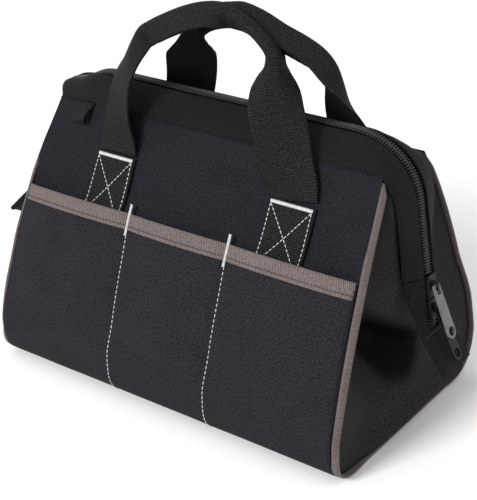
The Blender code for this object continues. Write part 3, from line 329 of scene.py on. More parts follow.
def path_at(path, lengths, length):
    """Point, outward direction and way of a path of (point, outward), at a length along it."""
    length = min(max(length, 0), lengths[-1])
    i = min(bisect_right(lengths, length + 1e-9) - 1, len(path) - 2)
    part = (length - lengths[i]) / max(lengths[i + 1] - lengths[i], 1e-9)
    (near, out), (far, far_out) = path[i:i + 2]
    return near.lerp(far, part), out.lerp(far_out, part).normalized(), (far - near).normalized()


def new_piece(name, build, body, material, replaced=(), outward=None):
    """A bmesh as a piece on its body, or, where body is (a, b, start, end) for two bodies, left on neither.
    """
    build.normal_update()
    if outward is None:
        bmesh.ops.recalc_face_normals(build, faces=build.faces)
    elif sum((face.normal * face.calc_area() for face in build.faces), Vector()).dot(outward) < 0:
        bmesh.ops.reverse_faces(build, faces=build.faces)
    for vertex in build.verts:
        vertex.co = settled(vertex.co)
    for face in build.faces:
        face.smooth = True
    mesh = bpy.data.meshes.new(name)
    build.to_mesh(mesh)
    build.free()
    mesh.materials.append(material)
    piece = add_object(name, mesh)
    if isinstance(body, str):
        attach(piece, body)
    else:
        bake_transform(piece)
    if replaced:
        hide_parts(*replaced)
    return piece


def grid(rows, closed=False, skip=()):
    """A bmesh over rows of points, with metres along both ways as its UV."""
    build = bmesh.new()
    uv = build.loops.layers.uv.new("UVMap")
    verts = [[build.verts.new(point) for point in row] for row in rows]
    middle, count = rows[len(rows) // 2], len(rows[0])
    across = running_lengths(middle + middle[:1] if closed else middle)
    along = running_lengths([row[count // 2] for row in rows])
    for i in range(len(rows) - 1):
        for j in range(count if closed else count - 1):
            if (i, j) in skip:
                continue
            k = (j + 1) % count
            face = build.faces.new((verts[i][j], verts[i][k], verts[i + 1][k], verts[i + 1][j]))
            for loop, u, v in zip(face.loops, (j, j + 1, j + 1, j), (i, i, i + 1, i + 1)):
                loop[uv].uv = (across[u], along[v])
    return build


def sheet(name, rows, thickness, outward, body, material, replaced=(), skip=()):
    """Cloth, tape or webbing: a grid with a thickness behind it."""
    piece = new_piece(name, grid(rows, skip=skip), body, material, replaced, outward)
    fill(piece.modifiers.new("thickness", "SOLIDIFY"), thickness=thickness, offset=-1, use_even_offset=True)
    return piece


def lofted(name, rings, body, material, replaced, looped=False):
    """A closed skin through rings of points, capped, or looped back to its first ring."""
    build = grid(rings + rings[:1] if looped else rings, closed=True)
    if looped:
        bmesh.ops.remove_doubles(build, verts=build.verts, dist=1e-6)
    else:
        bmesh.ops.holes_fill(build, edges=[e for e in build.edges if e.is_boundary], sides=0)
    new_piece(name, build, body, material, replaced)


def skin(build, rings):
    """Adds a closed skin through rings of points to a bmesh."""
    loops = [[build.verts.new(point) for point in ring] for ring in rings]
    for near, far in zip(loops, loops[1:]):
        for k in range(len(near)):
            after = (k + 1) % len(near)
            build.faces.new((near[k], near[after], far[after], far[k]))
    build.faces.new(loops[0])
    build.faces.new(reversed(loops[-1]))


def tube_rings(path, radius, flat):
    """Round rings along a path; flat below 1 presses them against what carries them."""
    rings = []
    for i, point in enumerate(path):
        along = way_at(path, i)
        side = along.cross(Vector((0, 0, 1)))
        if side.length < 0.2:
            side = along.cross(Vector((0, 1, 0)))
        side.normalize()
        over = side.cross(along) * flat
        rings.append([point + (side * c + over * s) * radius for c, s in circle(6)])
    return rings


# A stitch's stations: share of its length, lift and size in thread radii
STITCH = ((0, -0.6, 0.45), (0.12, 0.55, 1), (0.5, 0.9, 1), (0.88, 0.55, 1), (1, -0.6, 0.45))


def stitches(name, paths, pitch, share, radius, body, material):
    """Dashed thread along paths of (point, outward), as bars that dip in at their ends."""
    build = bmesh.new()
    for path in paths:
        lengths = running_lengths([point for point, _ in path])
        count = max(int(lengths[-1] / pitch), 1)
        step = lengths[-1] / count
        for n in range(count):
            begin = (n + (1 - share) / 2) * step
            middle = []
            for bit, lift, size in STITCH:
                point, out, _ = path_at(path, lengths, begin + step * share * bit)
                middle.append((point + out * radius * lift, out, size * radius))
            along = (middle[-1][0] - middle[0][0]).normalized()
            skin(build, [[point + (along.cross(out).normalized() * c + out * s) * size for c, s in circle(6)]
                         for point, out, size in middle])
    new_piece(name, build, body, material)


def wrinkle(point, size, seed=0.0):
    """Slow, repeatable unevenness of cloth, from -1 to 1."""
    return noise.noise(Vector((point[0] / size + seed, point[1] / size - seed, point[2] / size + 2 * seed)))


def rumpled(x, share, *waves):
    """Unevenness of a wall's cloth, from waves of (depth, size, seed)."""
    return sum(depth * wrinkle((x, share * RISE, 0), size, seed) for depth, size, seed in waves)


# Materials

class Nodes:
    """A node tree with short ways to add to it."""

    def __init__(self, owner):
        owner.use_nodes = True
        self.owner, self.tree = owner, owner.node_tree

    def feed(self, target, value):
        if isinstance(value, bpy.types.NodeSocket):
            self.tree.links.new(value, target)
        else:
            target.default_value = value

    def new(self, kind, *values, **named):
        """A node with its first inputs and its named ones fed."""
        node = self.tree.nodes.new("ShaderNode" + kind)
        for target, value in [*zip(node.inputs, values), *((node.inputs[key], named[key]) for key in named)]:
            self.feed(target, value)
        return node

    def math(self, operation, *values):
        return fill(self.new("Math", *values), operation=operation).outputs[0]


class Look(Nodes):
    """A material's nodes."""

    def __init__(self, name, roughness, metallic=0.0, specular=0.5):
        super().__init__(bpy.data.materials.new(name))
        self.shader = self.tree.nodes["Principled BSDF"].inputs
        for key, value in ("Roughness", roughness), ("Metallic", metallic), ("Specular IOR Level", specular):
            self.shader[key].default_value = value

    def weighed(self, *pairs):
        """The sum of values, each times its weight."""
        total = 0
        for value, weight in pairs:
            total = self.math("MULTIPLY_ADD", value, weight, total)
        return total

    def mapped(self):
        """The UV, and its two lengths in metres."""
        uv = self.new("TexCoord").outputs["UV"]
        u, v, _ = self.new("SeparateXYZ", uv).outputs
        return uv, u, v

    def noise(self, vector, size, detail=2.0, roughness=0.5):
        node = self.new("TexNoise", Vector=vector, Scale=1 / size, Detail=detail, Roughness=roughness)
        return node.outputs["Fac"]

    def wave(self, value, pitch, power=1.0):
        """Rounded ridges, 0 to 1, along a length."""
        ridge = self.math("ABSOLUTE", self.math("SINE", self.math("MULTIPLY", value, pi / pitch)))
        return self.math("POWER", ridge, power)

    def mixed(self, factor, low, high):
        """A mix of two colours, each a socket, a tuple, or one number for a grey."""
        node = fill(self.new("Mix"), data_type="RGBA")
        self.feed(node.inputs["Factor"], factor)
        for target, value in (("A", low), ("B", high)):
            if isinstance(value, float):
                value = (value,) * 3
            self.feed(node.inputs[target], (*value, 1) if isinstance(value, tuple) else value)
        return node.outputs["Result"]

    def remap(self, value, low, high, to_low=0.0, to_high=1.0):
        return self.new("MapRange", value, low, high, to_low, to_high).outputs[0]

    def finish(self, colour, height=None, distance=0.0, roughness=None):
        self.feed(self.shader["Base Color"], colour)
        if roughness is not None:
            self.feed(self.shader["Roughness"], roughness)
        if height is not None:
            bump = self.new("Bump", Strength=1.0, Distance=distance, Height=height)
            self.feed(self.shader["Normal"], bump.outputs[0])
        return self.owner


def cloth(name, dark, light, roughness=0.85, specular=0.12, folded=False):
    """Twill: fine diagonal ridges over a plain weave, with faint clouding, and painted shade in a fold if
    folded.
    """
    m = Look(name, roughness, specular=specular)
    uv, u, v = m.mapped()
    diagonal = m.wave(m.weighed((u, 1), (v, 0.8)), 0.0019)
    threads = m.math("MULTIPLY", m.wave(u, 0.00065), m.wave(v, 0.00065))
    grain = m.remap(m.noise(uv, 0.0014, 2, 0.7), 0.35, 0.65)
    shade = m.weighed((diagonal, 0.4), (grain, 0.5), (m.noise(uv, 0.028, 3), 0.2))
    colour = m.mixed(m.math("POWER", m.remap(shade, 0.1, 1), 1.7), dark, light)
    # Painted shade: the points' fold attribute takes the colour down towards the dark, for the shadow deep in
    # the fold.
    if folded:
        fold = fill(m.new("Attribute"), attribute_name="fold")
        colour = m.mixed(m.math("MULTIPLY", fold.outputs["Fac"], 0.98), colour, dark)
    return m.finish(colour, m.weighed((diagonal, 0.7), (threads, 0.3)), 0.00035)


def webbing(name, dark, light, rib, column, broken):
    """Woven webbing: rows of ribs across it, broken by some share into columns of threads."""
    m = Look(name, 0.7, specular=0.15)
    uv, u, v = m.mapped()
    columns = m.remap(m.wave(u, column, 0.6), 0, 1, 1 - broken, 1)
    height = m.math("MULTIPLY", m.wave(v, rib, 0.8), columns)
    grain = m.remap(m.noise(uv, 0.0015, 2, 0.7), 0.38, 0.62)
    shade = m.math("POWER", m.remap(m.weighed((height, 0.45), (grain, 0.55)), 0.05, 0.95), 2.3)
    return m.finish(m.mixed(shade, dark, light), height, 0.0005)


def ribbon(name, dark, light, rib=0.0014, slant=0.35):
    """Ribbed binding tape: slanting ridges across its length."""
    m = Look(name, 0.85, specular=0.15)
    uv, u, v = m.mapped()
    ribs = m.wave(m.weighed((v, 1), (u, slant)), rib, 0.7)
    height = m.weighed((ribs, 0.75), (m.wave(u, 0.0009, 0.6), 0.25))
    grain = m.remap(m.noise(uv, 0.0016, 2, 0.6), 0.35, 0.65)
    shade = m.weighed((height, 0.6), (grain, 0.25), (m.noise(uv, 0.03, 2), 0.2))
    return m.finish(m.mixed(m.remap(shade, 0.25, 0.85), dark, light), height, 0.0005)


def speckled(name, dark, light, roughness, metallic=0.0, size=0.004, bump=0.0, specular=0.5):
    """Moulded or cast stuff: slow colour and roughness changes, and a fine tooth."""
    m = Look(name, roughness, metallic, specular)
    place = m.new("TexCoord").outputs["Object"]
    clouds = m.noise(place, size, 3, 0.6)
    tooth = m.noise(place, size / 12, 2, 0.6) if bump else None
    rough = m.remap(clouds, 0.3, 0.7, roughness * 0.85, roughness * 1.15)
    return m.finish(m.mixed(m.remap(clouds, 0.3, 0.7), dark, light), tooth, bump, rough)


CLOTH = cloth("pocket_twill", (0.002, 0.002, 0.0035), (0.03, 0.03, 0.0362))
# Painted shade: the wall is the pocket cloth made darker, for the shade the upper wall lies in.
SHADED_WALL_CLOTH = cloth("wall_twill", (0.001, 0.001, 0.003), (0.0222, 0.0217, 0.0283))
# The end cloth gets painted shade in its fold, from the fold attribute that make_end sets.
END_CLOTH = cloth("end_twill", 0.001, (0.052, 0.052, 0.0533), 0.6, 0.05, True)
WEB = webbing("grip_webbing", 0.001, 0.0225, 0.0018, 0.0016, 0.6)
BAND = webbing("band_webbing", 0.0005, (0.011, 0.011, 0.0114), 0.002, 0.0014, 0.25)
TAUPE = ribbon("taupe_tape", (0.018, 0.014, 0.013), (0.182, 0.148, 0.141))
ZIP_CLOTH = ribbon("zip_cloth", 0.003, 0.01, 0.0012, 0.0)
PALE_THREAD = speckled("pale_thread", 0.42, (0.62, 0.61, 0.6), 0.6, size=0.002, bump=0.0001)
DARK_THREAD = speckled("dark_thread", (0.012, 0.011, 0.011), (0.03, 0.028, 0.028), 0.6, size=0.002,
                                bump=0.0001)
COIL = speckled("zip_coil_plastic", 0.012, (0.04, 0.04, 0.041), 0.35, size=0.003)
METAL = speckled("gunmetal", (0.13, 0.135, 0.14), (0.19, 0.195, 0.2), 0.45, 0.6, 0.006, 0.00002)
# Painted shade: the lower pull is the upper pull's gunmetal coloured near black, for the dark its face
# reflects.
SHADED_GUNMETAL = speckled("dark_gunmetal", 0.004, 0.009, 0.3, size=0.006, specular=0.2)
# Painted highlight: the glint that the pulls' bevelled edges catch.
PAINTED_EDGE_GLINT = speckled("worn_edge", (0.34, 0.34, 0.35), (0.48, 0.48, 0.49), 0.4, 0.6, 0.006)
ENAMEL = speckled("black_enamel", 0.004, 0.01, 0.5, specular=0.2)
BOARD_PLASTIC = speckled("board_plastic", (0.02, 0.02, 0.022), (0.04, 0.04, 0.042), 0.7, size=0.01,
                                  bump=0.0002)


# Where cloth bends between two bodies: (a, b, start, end)

def foot_bend(side):
    return "base", SIDES[side] + "_wall", (0, side * 0.1012, 0.036), (0, side * 0.1005, 0.05)


def end_bend(side):
    return "base", SIDES[side] + "_wall", (0, side * 0.02, 0.128), (0, side * 0.0541, 0.1524)


# Body cloth

def lobe_columns(count):
    """Places across the pockets with each one's share of its own pocket."""
    edges = (-POCKET_REACH, -DIVIDER, DIVIDER, POCKET_REACH)
    columns = []
    for low, high in zip(edges, edges[1:]):
        for share in steps(0, 1, count)[:-1]:
            eased = mix(share, smooth(share), 0.5)
            columns.append((mix(low, high, eased), eased))
    return columns + [(POCKET_REACH, 0.0)]


def make_shell(side):
    """Base and pocket cloth in one, from the base's middle to the pocket's top edge."""
    columns = lobe_columns(18)
    rows = [[Vector((x, side * y, 0)) for x, _ in columns] for y in steps(0, ARC_CENTRE, 5)[:-1]]
    for angle in steps(0, ARC_TURN, 18)[:-1]:
        dent, down = 0.0005 * sin(angle) ** 2, angle * CORNER_RADIUS
        rows.append([foot_point(side, x, angle, dent * wrinkle((x, down, 0), 0.03, 5.5 * side))
                     for x, _ in columns])
    for share in steps(0, MOUTH - 0.0006 / RISE, 44):
        row = []
        for x, lobe in columns:
            soft = smooth(share / (MOUTH / 2)) * smooth((1 - share / MOUTH) * 5)
            soft *= smooth(min(lobe, 1 - lobe) * 6)
            uneven = rumpled(x, share, (0.0008, 0.045, 3.1 * side), (0.0003, 0.017, 7.7 * side))
            out = pocket_inner_face(share, lobe) + POCKET_FABRIC + soft * uneven
            row.append(wall_point(side, pocket_x(x, share), share, out))
        rows.append(row)
    name = SIDES[side]
    nodes = [name + "_pocket_panel"] + (["base_panel"] if side == FRONT else [])
    sheet(name + "_pocket_cloth", rows, POCKET_FABRIC, (0, side, 0), foot_bend(side), CLOTH, nodes)


def make_wall(side):
    """The wall behind the pockets, up to the seam under the zip band."""
    rows = []
    for share in steps(GAP / RISE, 1.0, 60):
        reach = half_length(share) - 2 * GAP
        row = []
        for x in (reach * sin(pi / 2 * s) for s in steps(-1, 1, 64)):
            free = smooth((share - MOUTH) * 6) * smooth((1 - share) * 8)
            free *= smooth((half_length(share) - abs(x)) / 0.02)
            uneven = rumpled(x, share, (0.001, 0.05, 11.3 * side), (0.0004, 0.02, 2.9 * side))
            row.append(wall_point(side, x, share, wall_face(share, x) + free * uneven))
        rows.append(row)
    name = SIDES[side]
    sheet(name + "_wall_cloth", rows, FABRIC, (0, side, 0), name + "_wall", SHADED_WALL_CLOTH,
          [name + "_wall_panel"])


def painted_fold_shade(y, height):
    """How much painted shade darkens the end's fold: narrow by the front seam, wide below the ledge."""
    place = Vector((y, height)) - PAINTED_SHADE_START
    along = clamp(place.dot(PAINTED_SHADE_LINE) / PAINTED_SHADE_LINE.length_squared)
    apart = (place - PAINTED_SHADE_LINE * along).length
    return 1 - smooth((apart - mix(0.0055, 0.0225, smooth(along) ** 1.5)) / 0.011 + 0.5)


def end_point(end, side, height, share):
    """A point on the end's cloth, from its middle (0) to the seam with the wall (1)."""
    grown = clamp((height - 2 * CORNER_RADIUS) / (SPLIT_HEIGHT - 2 * CORNER_RADIUS))
    strip_half_width, strip_x = strip_edge(max(height, SPLIT_HEIGHT))
    wide = end_half_width(height)
    near = (strip_half_width - 0.003) * smooth((height - SPLIT_HEIGHT + 0.006) / 0.012)
    y = mix(near, wide, share)
    middle = strip_half_width * grown
    across = clamp((y - middle) / (wide - middle))
    seam = half_length(wall_share(height))
    x = seam + (strip_x - WEBBING - 4 * GAP - seam) * grown * (1 - smooth(across))
    x -= END_HOLLOW * sin(pi * clamp(height / (1.5 * SPLIT_HEIGHT))) * sin(pi * across) ** 2
    fold = smooth((height - 0.02) / 0.05) * smooth((1 - share) * 5)
    fold *= smooth((height - SPLIT_HEIGHT + 0.08) / 0.05 + across * 3)
    x += 0.0014 * fold * wrinkle((y * side, height, end), 0.03, 4.4 * end)
    bulge = exp(-((height - BULGE_HEIGHT) / 0.0085) ** 2)
    bulge *= smooth((side * y + 0.08) / 0.05) * smooth((0.094 - side * y) / 0.012)
    x += BULGE * bulge - pit(side * y, height) * smooth((1 - share) * 4)
    return Vector((end * x, side * y, height))


def make_end(side, end):
    """Half of an end in one cloth, from the foot up past the zip's tail to the eave."""
    low = FABRIC + GAP + EDGE_DEPTH / 3
    heights = [mix(low, CORNER_RADIUS, share ** 1.4) for share in steps(0, 1, 9)[:-1]]
    heights += steps(CORNER_RADIUS, EAVE_HEIGHT - 0.0008, 48)
    rows = [[end_point(end, side, height, share) for share in steps(0, 1, 26)] for height in heights]
    name = label(side, end)
    nodes = [name + "_gusset"] + ([ENDS[end] + "_end_panel"] if side == FRONT else [])
    piece = sheet(name + "_end_cloth", rows, FABRIC, (end, 0, 0), end_bend(side), END_CLOTH, nodes)
    vertices = piece.data.vertices
    # Painted shade: how dark each point of the fold is drawn, for the end cloth's material.
    shade = piece.data.attributes.new("fold", "FLOAT", "POINT")
    for vertex, item in zip(vertices, shade.data):
        item.value = painted_fold_shade(vertex.co.y, vertex.co.z)
    for edge in piece.data.edges:
        if all(abs(vertices[v].co.y) < 1e-5 for v in edge.vertices):
            edge.use_edge_sharp = True
    if side == REAR:
        for loop in piece.data.uv_layers.active.data:
            loop.uv.x = -loop.uv.x


# Edge binding and pocket tape

TAPE_WIDTH, BASE_TAPE_WIDTH, TAPE_THICKNESS, TAPE_INSET = 0.0058, 0.0052, 0.0024, 0.0016
TAPE_TURN = radians(48)
# Rounded section of the folded tape: shares of its width and of its thickness
TAPE_SECTION = ((0, 0), (0.35, 0.03), (0.75, 0.05), (0.93, 0.16), (1, 0.38),
                (1, 0.62), (0.93, 0.84), (0.75, 0.95), (0.35, 0.97), (0, 1))


def make_corner_tape(side, end):
    """Half of an end's tape, from the middle of the base up to the eave."""
    full_turn = TAPE_TURN if side == FRONT else TAPE_TURN / 3
    rings = []

    def add_ring(length, y, z, out, turn, width=TAPE_WIDTH):
        """The section at a seam, turned back by an angle from straight out of the end."""
        beyond = Vector((end, 0, 0))
        along = beyond * cos(turn) - out * sin(turn)
        over = out * cos(turn) + beyond * sin(turn)
        seam = Vector((end * (length - BINDING_LAP * cos(turn)), y, z))
        rings.append([seam + along * width * far + over * TAPE_THICKNESS * (0.5 - through)
                      for far, through in TAPE_SECTION])

    for y in steps(0, ARC_CENTRE, 10)[:-1]:
        add_ring(FOOT_HALF_LENGTH, side * y, TAPE_INSET, Vector((0, 0, -1)), 0.0, BASE_TAPE_WIDTH)
    for angle in steps(0, ARC_TURN, 24)[:-1]:
        y, z = base_outline(angle, -TAPE_INSET)
        turn = full_turn * smooth((angle - 0.7) / (pi / 2 - 0.7))
        add_ring(FOOT_HALF_LENGTH, side * y, z, foot_way(side, angle), turn)
    for share in steps(0, 1 - 0.003 / RISE, 56):
        point = wall_point(side, 0, share, -TAPE_INSET)
        narrow = 1 - 0.75 * smooth((share - 0.93) / 0.07)
        add_ring(half_length(share), point.y, point.z, wall_way(side, share), full_turn, TAPE_WIDTH * narrow)
    name = label(side, end)
    lofted(name + "_edge_tape", rings, foot_bend(side), TAUPE,
           [name + "_binding", ENDS[end] + "_base_binding"])


def rim_point(side, x, lobe, height, off):
    """A point height below the pocket's top edge, off metres outside the pocket cloth."""
    limit = half_length(MOUTH) - FABRIC - 3 * GAP
    x = min(max(pocket_x(x, MOUTH), -limit), limit)
    return wall_point(side, x, MOUTH - height / RISE, pocket_inner_face(MOUTH, lobe) + off)


def make_rim(side):
    """The tape folded over the pockets' top edge, with its row of stitches."""
    rings, outer_line = [], []
    face, low, back = POCKET_FABRIC + GAP + RIM_TAPE, RIM_HEIGHT + 0.0006, -GAP - RIM_TAPE
    section = ((low, face - RIM_TAPE), (low, face - 0.0001), (low - 0.0004, face + 0.0001),
               (0.0082, face + 0.0001), (0.0076, face - 0.00025), (0.007, face + 0.0001), (0.0002, face),
               (-0.0009, face - 0.0006), (-0.0012, face / 2), (-0.0009, -GAP), (0.0002, back),
               (low, back), (low, -GAP), (0, -GAP / 2), (0, face - RIM_TAPE))
    for x, lobe in lobe_columns(22):
        rings.append([rim_point(side, x, lobe, height, off) for height, off in section])
        outer_line.append((rim_point(side, x, lobe, low - 0.0028, face - 0.0001), wall_way(side, 0.5)))
    name, body = SIDES[side], SIDES[side] + "_wall"
    lofted(name + "_pocket_tape", rings, body, TAUPE, [name + "_pocket_binding"])
    stitches(name + "_pocket_tape_thread", [outer_line], 0.003, 0.8, 0.00034, body, DARK_THREAD)


# Stitch bars and seams

def wall_path(side, start, stop, off):
    """A line on the wall between two (x, height) places, off metres outside its cloth."""
    path = []
    for part in steps(0, 1, 14):
        x, height = Vector(start).lerp(Vector(stop), part)
        share = wall_share(height)
        path.append(on_wall(side, x, share, wall_face(share) + off))
    return path


def zigzag_bar(name, path, width, turns, radius, body, replaced):
    """A bar tack: one pale thread laid in close zigzags across a line, over a padded core."""
    points = [point for point, _ in path]
    lengths = running_lengths(points)
    thread = []
    for n in range(2 * turns + 1):
        point, out, along = path_at(path, lengths, lengths[-1] * n / (2 * turns))
        swing = width / 2 if n % 2 else -width / 2
        thread.append(point + along.cross(out).normalized() * swing + out * radius * 0.2)
        if n < 2 * turns:
            thread.append(point + out * radius * 1.5 + along * lengths[-1] / (4 * turns))
    core = []
    for i, (point, out) in enumerate(path):
        side = way_at(points, i).cross(out).normalized()
        core.append([point + side * width * 0.46 * c + out * radius * 1.3 * max(s, -0.3)
                     for c, s in circle(10)])
    build = bmesh.new()
    skin(build, tube_rings(thread, radius, 0.9))
    skin(build, core)
    new_piece(name, build, body, PALE_THREAD, replaced)


def make_dividers(side):
    """Bar tacks over the pocket tape and the stitched lines that part the pockets."""
    rim_low = MOUTH - RIM_HEIGHT / RISE
    on_rim = pocket_inner_face(MOUTH, 0) + POCKET_FABRIC + GAP + RIM_TAPE + 0.0003
    for end in ENDS:
        x, name = end * DIVIDER, label(side, end)
        path = [on_wall(side, x, share, on_rim)
                for share in steps(rim_low - 0.0048 / RISE, MOUTH + 0.0075 / RISE, 14)]
        zigzag_bar(name + "_divider_tack", path, 0.0025, 30, 0.00032, SIDES[side] + "_wall",
                   [name + "_pocket_tack"])
        line = [on_wall(side, x, share, pocket_inner_face(share, 0) + POCKET_FABRIC)
                for share in steps(rim_low - 0.004 / RISE, 0, 50)]
        line += [(foot_point(side, x, angle), foot_way(side, angle))
                 for angle in steps(ARC_TURN, 0.35, 24)[1:]]
        stitches(name + "_divider_thread", [line], 0.004, 0.72, 0.00036, foot_bend(side), PALE_THREAD)


def make_patch(side, end):
    """The sewn end of a grip's webbing with its boxed cross of stitches and its bar tack."""
    name, body = label(side, end), SIDES[side] + "_wall"
    middle = end * HANDLE_X + HANDLE_ROOT_SHIFT
    bow = 0.0003
    rows = [[wall_point(side, middle + across * HANDLE_WIDTH / 2, share,
                        wall_face(share) + GAP + HANDLE_WEB + bow * (1 - across ** 2))
             for across in steps(-1, 1, 12)]
            for share in steps(wall_share(POCKET_TOP - 0.015), wall_share(PATCH_TOP), 22)]
    sheet(name + "_patch_webbing", rows, HANDLE_WEB, (0, side, 0), body, WEB, [name + "_patch"])
    off = GAP + HANDLE_WEB + bow
    top, foot, bar = PATCH_TOP - 0.003, POCKET_TOP - 0.004, PATCH_TOP - 0.002
    left, right = middle - 0.0174, middle + 0.0174
    lines = [wall_path(side, (start, top), (stop, foot), off)
             for start, stop in ((left, left - 0.0005), (right, right + 0.0005),
                                 (left, right - 0.002), (right, left + 0.002))]
    stitches(name + "_patch_thread", lines, 0.0034, 0.74, 0.00036, body, PALE_THREAD)
    zigzag_bar(name + "_patch_bar", wall_path(side, (left - 0.0005, bar), (right + 0.0005, bar), off),
               0.0026, 60, 0.00034, body, [name + "_patch_tack"])


# Grips

def spline(points, count):
    """Smooth points through the given ones, count to each span."""
    ends = [points[0] * 2 - points[1]] + points + [points[-1] * 2 - points[-2]]
    path = []
    for a, b, c, d in zip(ends, ends[1:], ends[2:], ends[3:]):
        for t in steps(0, 1, count)[:-1]:
            path.append(0.5 * (2 * b + (c - a) * t + (2 * a - 5 * b + 4 * c - d) * t * t
                               + (3 * b - a - 3 * c + d) * t ** 3))
    return path + [points[-1]]


# Stations of each grip from left to right, in mm and degrees: the webbing's middle, or its crease where
# folded double; its turn outwards; and, where not 0, its fold's share and how far the halves hang inwards
GRIPS = {
    FRONT: ((-77, -47.4, 184.6, 0), (-77.3, -43.6, 196, 9), (-78.4, -39.5, 212, 20),
            (-78.8, -35.2, 228, 27), (-77.6, -31.2, 242, 32, 0.04, 0), (-75.6, -27, 256, 38, 0.26, 4),
            (-72.4, -23, 268.5, 52, 0.6, 6), (-67.6, -19, 279, 72, 0.9, 4), (-60, -17.2, 284.6, 86, 1, 0),
            (-46.2, -15, 292.2, 90, 1, -4), (-26, -12.5, 301.3, 90, 1, -8), (-8.8, -11, 306.2, 90, 1, -4),
            (6.5, -11.5, 307, 90, 1, 16), (17.5, -12, 302.4, 90, 1, 44), (28.2, -13, 297, 90, 1, 58),
            (42.7, -15.5, 288.5, 88, 1, 62), (52.2, -17.5, 281, 78, 0.97, 56),
            (56.2, -20.5, 273.5, 62, 0.88, 44), (59, -24, 265, 48, 0.66, 30),
            (61.2, -26.6, 258.5, 42, 0.46, 20), (64.4, -29.6, 251, 38, 0.27, 10),
            (67.4, -32.4, 244, 36, 0.12, 4), (73, -36, 233, 32, 0.02, 0),
            (79.6, -40.6, 217, 23), (86.6, -44.5, 198, 10), (89, -47.4, 184.6, 0)),
    REAR: ((-77, 47.4, 184.6, 0), (-73.5, 43, 198, 12), (-64.5, 35.5, 214, 27),
           (-57, 29, 228, 37), (-52, 24, 241, 38, 0.05, 0), (-48.5, 19.5, 255, 40, 0.26, 6),
           (-46, 16.8, 262.5, 42, 0.48, 10), (-44, 14.6, 270, 46, 0.7, 14),
           (-41.5, 12.6, 278, 54, 0.86, 20),
           (-36.5, 11.2, 286.5, 68, 0.96, 26), (-26, 10.2, 294, 84, 1, 32), (-13, 10, 299, 90, 1, 36),
           (0, 10, 301.8, 90, 1, 36), (12, 10, 303.2, 90, 1, 36), (29.5, 10, 299.4, 90, 1, 38),
           (47.5, 10.4, 292, 90, 1, 42), (66, 11.5, 285.4, 90, 0.98, 42), (79, 13.5, 278, 80, 0.9, 32),
           (86.6, 17, 266.5, 64, 0.72, 18), (88.6, 21.5, 253, 44, 0.42, 8), (86.4, 27, 239, 26, 0.14, 0),
           (84.2, 33.5, 222, 13), (86, 40.5, 203, 6), (89, 47.4, 184.6, 0)),
}
GRIP_MIDDLE, GRIP_THICKNESS, FLANK_CELLS = Vector((0.004, 0, 0.235)), 0.0017, 12


def square_to(way, *others):
    """A direction made square to others."""
    for other in others:
        way = way - other * way.dot(other)
    return way.normalized()


def make_grip(side):
    """One grip: flat webbing that turns outwards as it rises, folded double at the top."""
    path = spline([Vector(station[:3]) / 1000 for station in GRIPS[side]], 4)
    manner = spline([Vector((*station[3:], 0, 0)[:3]) for station in GRIPS[side]], 4)
    share = wall_share(PATCH_TOP)
    root = wall_point(side, 0, share, wall_face(share) + GAP + HANDLE_WEB + 0.0011)
    shift = root.y - side * 0.002 - path[0].y
    rows = []
    for i, (point, (turn, fold, hang)) in enumerate(zip(path, manner)):
        along = way_at(path, i)
        turn, hang, fold = radians(min(turn, 90)), radians(hang), clamp(fold)
        near_root = 1 - smooth((point.z - path[0].z) / 0.03)
        crease = point + Vector((0, shift * near_root, 0))
        outer, back = Vector((-1 if i < len(path) / 2 else 1, 0, 0)), Vector((0, -side, 0))
        wide = square_to(outer * cos(turn) + back * sin(turn), along)
        inward = square_to(GRIP_MIDDLE - point, along, wide)
        hung = (inward * cos(hang) + square_to(back, along) * sin(hang)).normalized()
        spread = along.cross(hung).normalized()
        if spread.dot(wide) < 0:
            spread = -spread
        near = wide.lerp(spread, fold).normalized()
        rounding = mix(0.9, 0.3, fold)
        flank, step = [(0.0, 0.0)], HANDLE_WIDTH / 2 / FLANK_CELLS
        for k in range(FLANK_CELLS):
            bend = fold * radians(86) * smooth(((k + 0.5) / FLANK_CELLS) / rounding)
            flank.append((flank[-1][0] + step * cos(bend), flank[-1][1] + step * sin(bend)))
        rows.append([crease - near * out + hung * down for out, down in flank[:0:-1]]
                    + [crease + near * out + hung * down for out, down in flank])
    name = SIDES[side]
    bend = name + "_wall", name + "_handle", (0, root.y, root.z - 0.001), (0, root.y, root.z + 0.014)
    piece = new_piece(name + "_grip", grid(rows), bend, WEB, [name + "_handle"])
    fill(piece.modifiers.new("thickness", "SOLIDIFY"), thickness=GRIP_THICKNESS, offset=0)


# The key loop's outline in mm, down from the eave and out from the wall, and its middle
LOOP_OUTLINE = ((-1, 0.2), (2, 1.8), (5, 4.4), (8.5, 6.8), (11.5, 7.4), (13.6, 6.2),
                (14.6, 4.2), (13.9, 2.4), (11.5, 1.4), (7, 0.8), (2, 0.3))
LOOP_MIDDLE, LOOP_THICKNESS = (9.5, 3.8), 0.0012


def make_key_loop():
    """The narrow webbing loop under the front eave, pinched by the band's edge."""
    outline = [Vector(place) / 1000 for place in LOOP_OUTLINE]
    middle = Vector(LOOP_MIDDLE) / 1000
    rings = []
    for i, place in enumerate(outline):
        along = (outline[(i + 1) % len(outline)] - outline[i - 1]).normalized()
        inside = Vector((along.y, -along.x)) * LOOP_THICKNESS
        if inside.dot(middle - place) < 0:
            inside = -inside
        ring = []
        for down, out in (place, place + inside):
            share = 1 - down / RISE
            off = GAP + 0.0004 + out + wall_face(min(share, 1.0), LOOP_X)
            lean = LOOP_X - 0.0076 - 0.24 * down
            line = [wall_point(FRONT, lean + LOOP_WIDTH * s, share, off) for s in steps(0, 1, 5)]
            ring += line[::-1] if ring else line
        rings.append(ring)
    lofted("key_loop_webbing", rings, "front_wall", WEB, ["key_loop"], looped=True)


# Zip: band, tape, teeth and tails

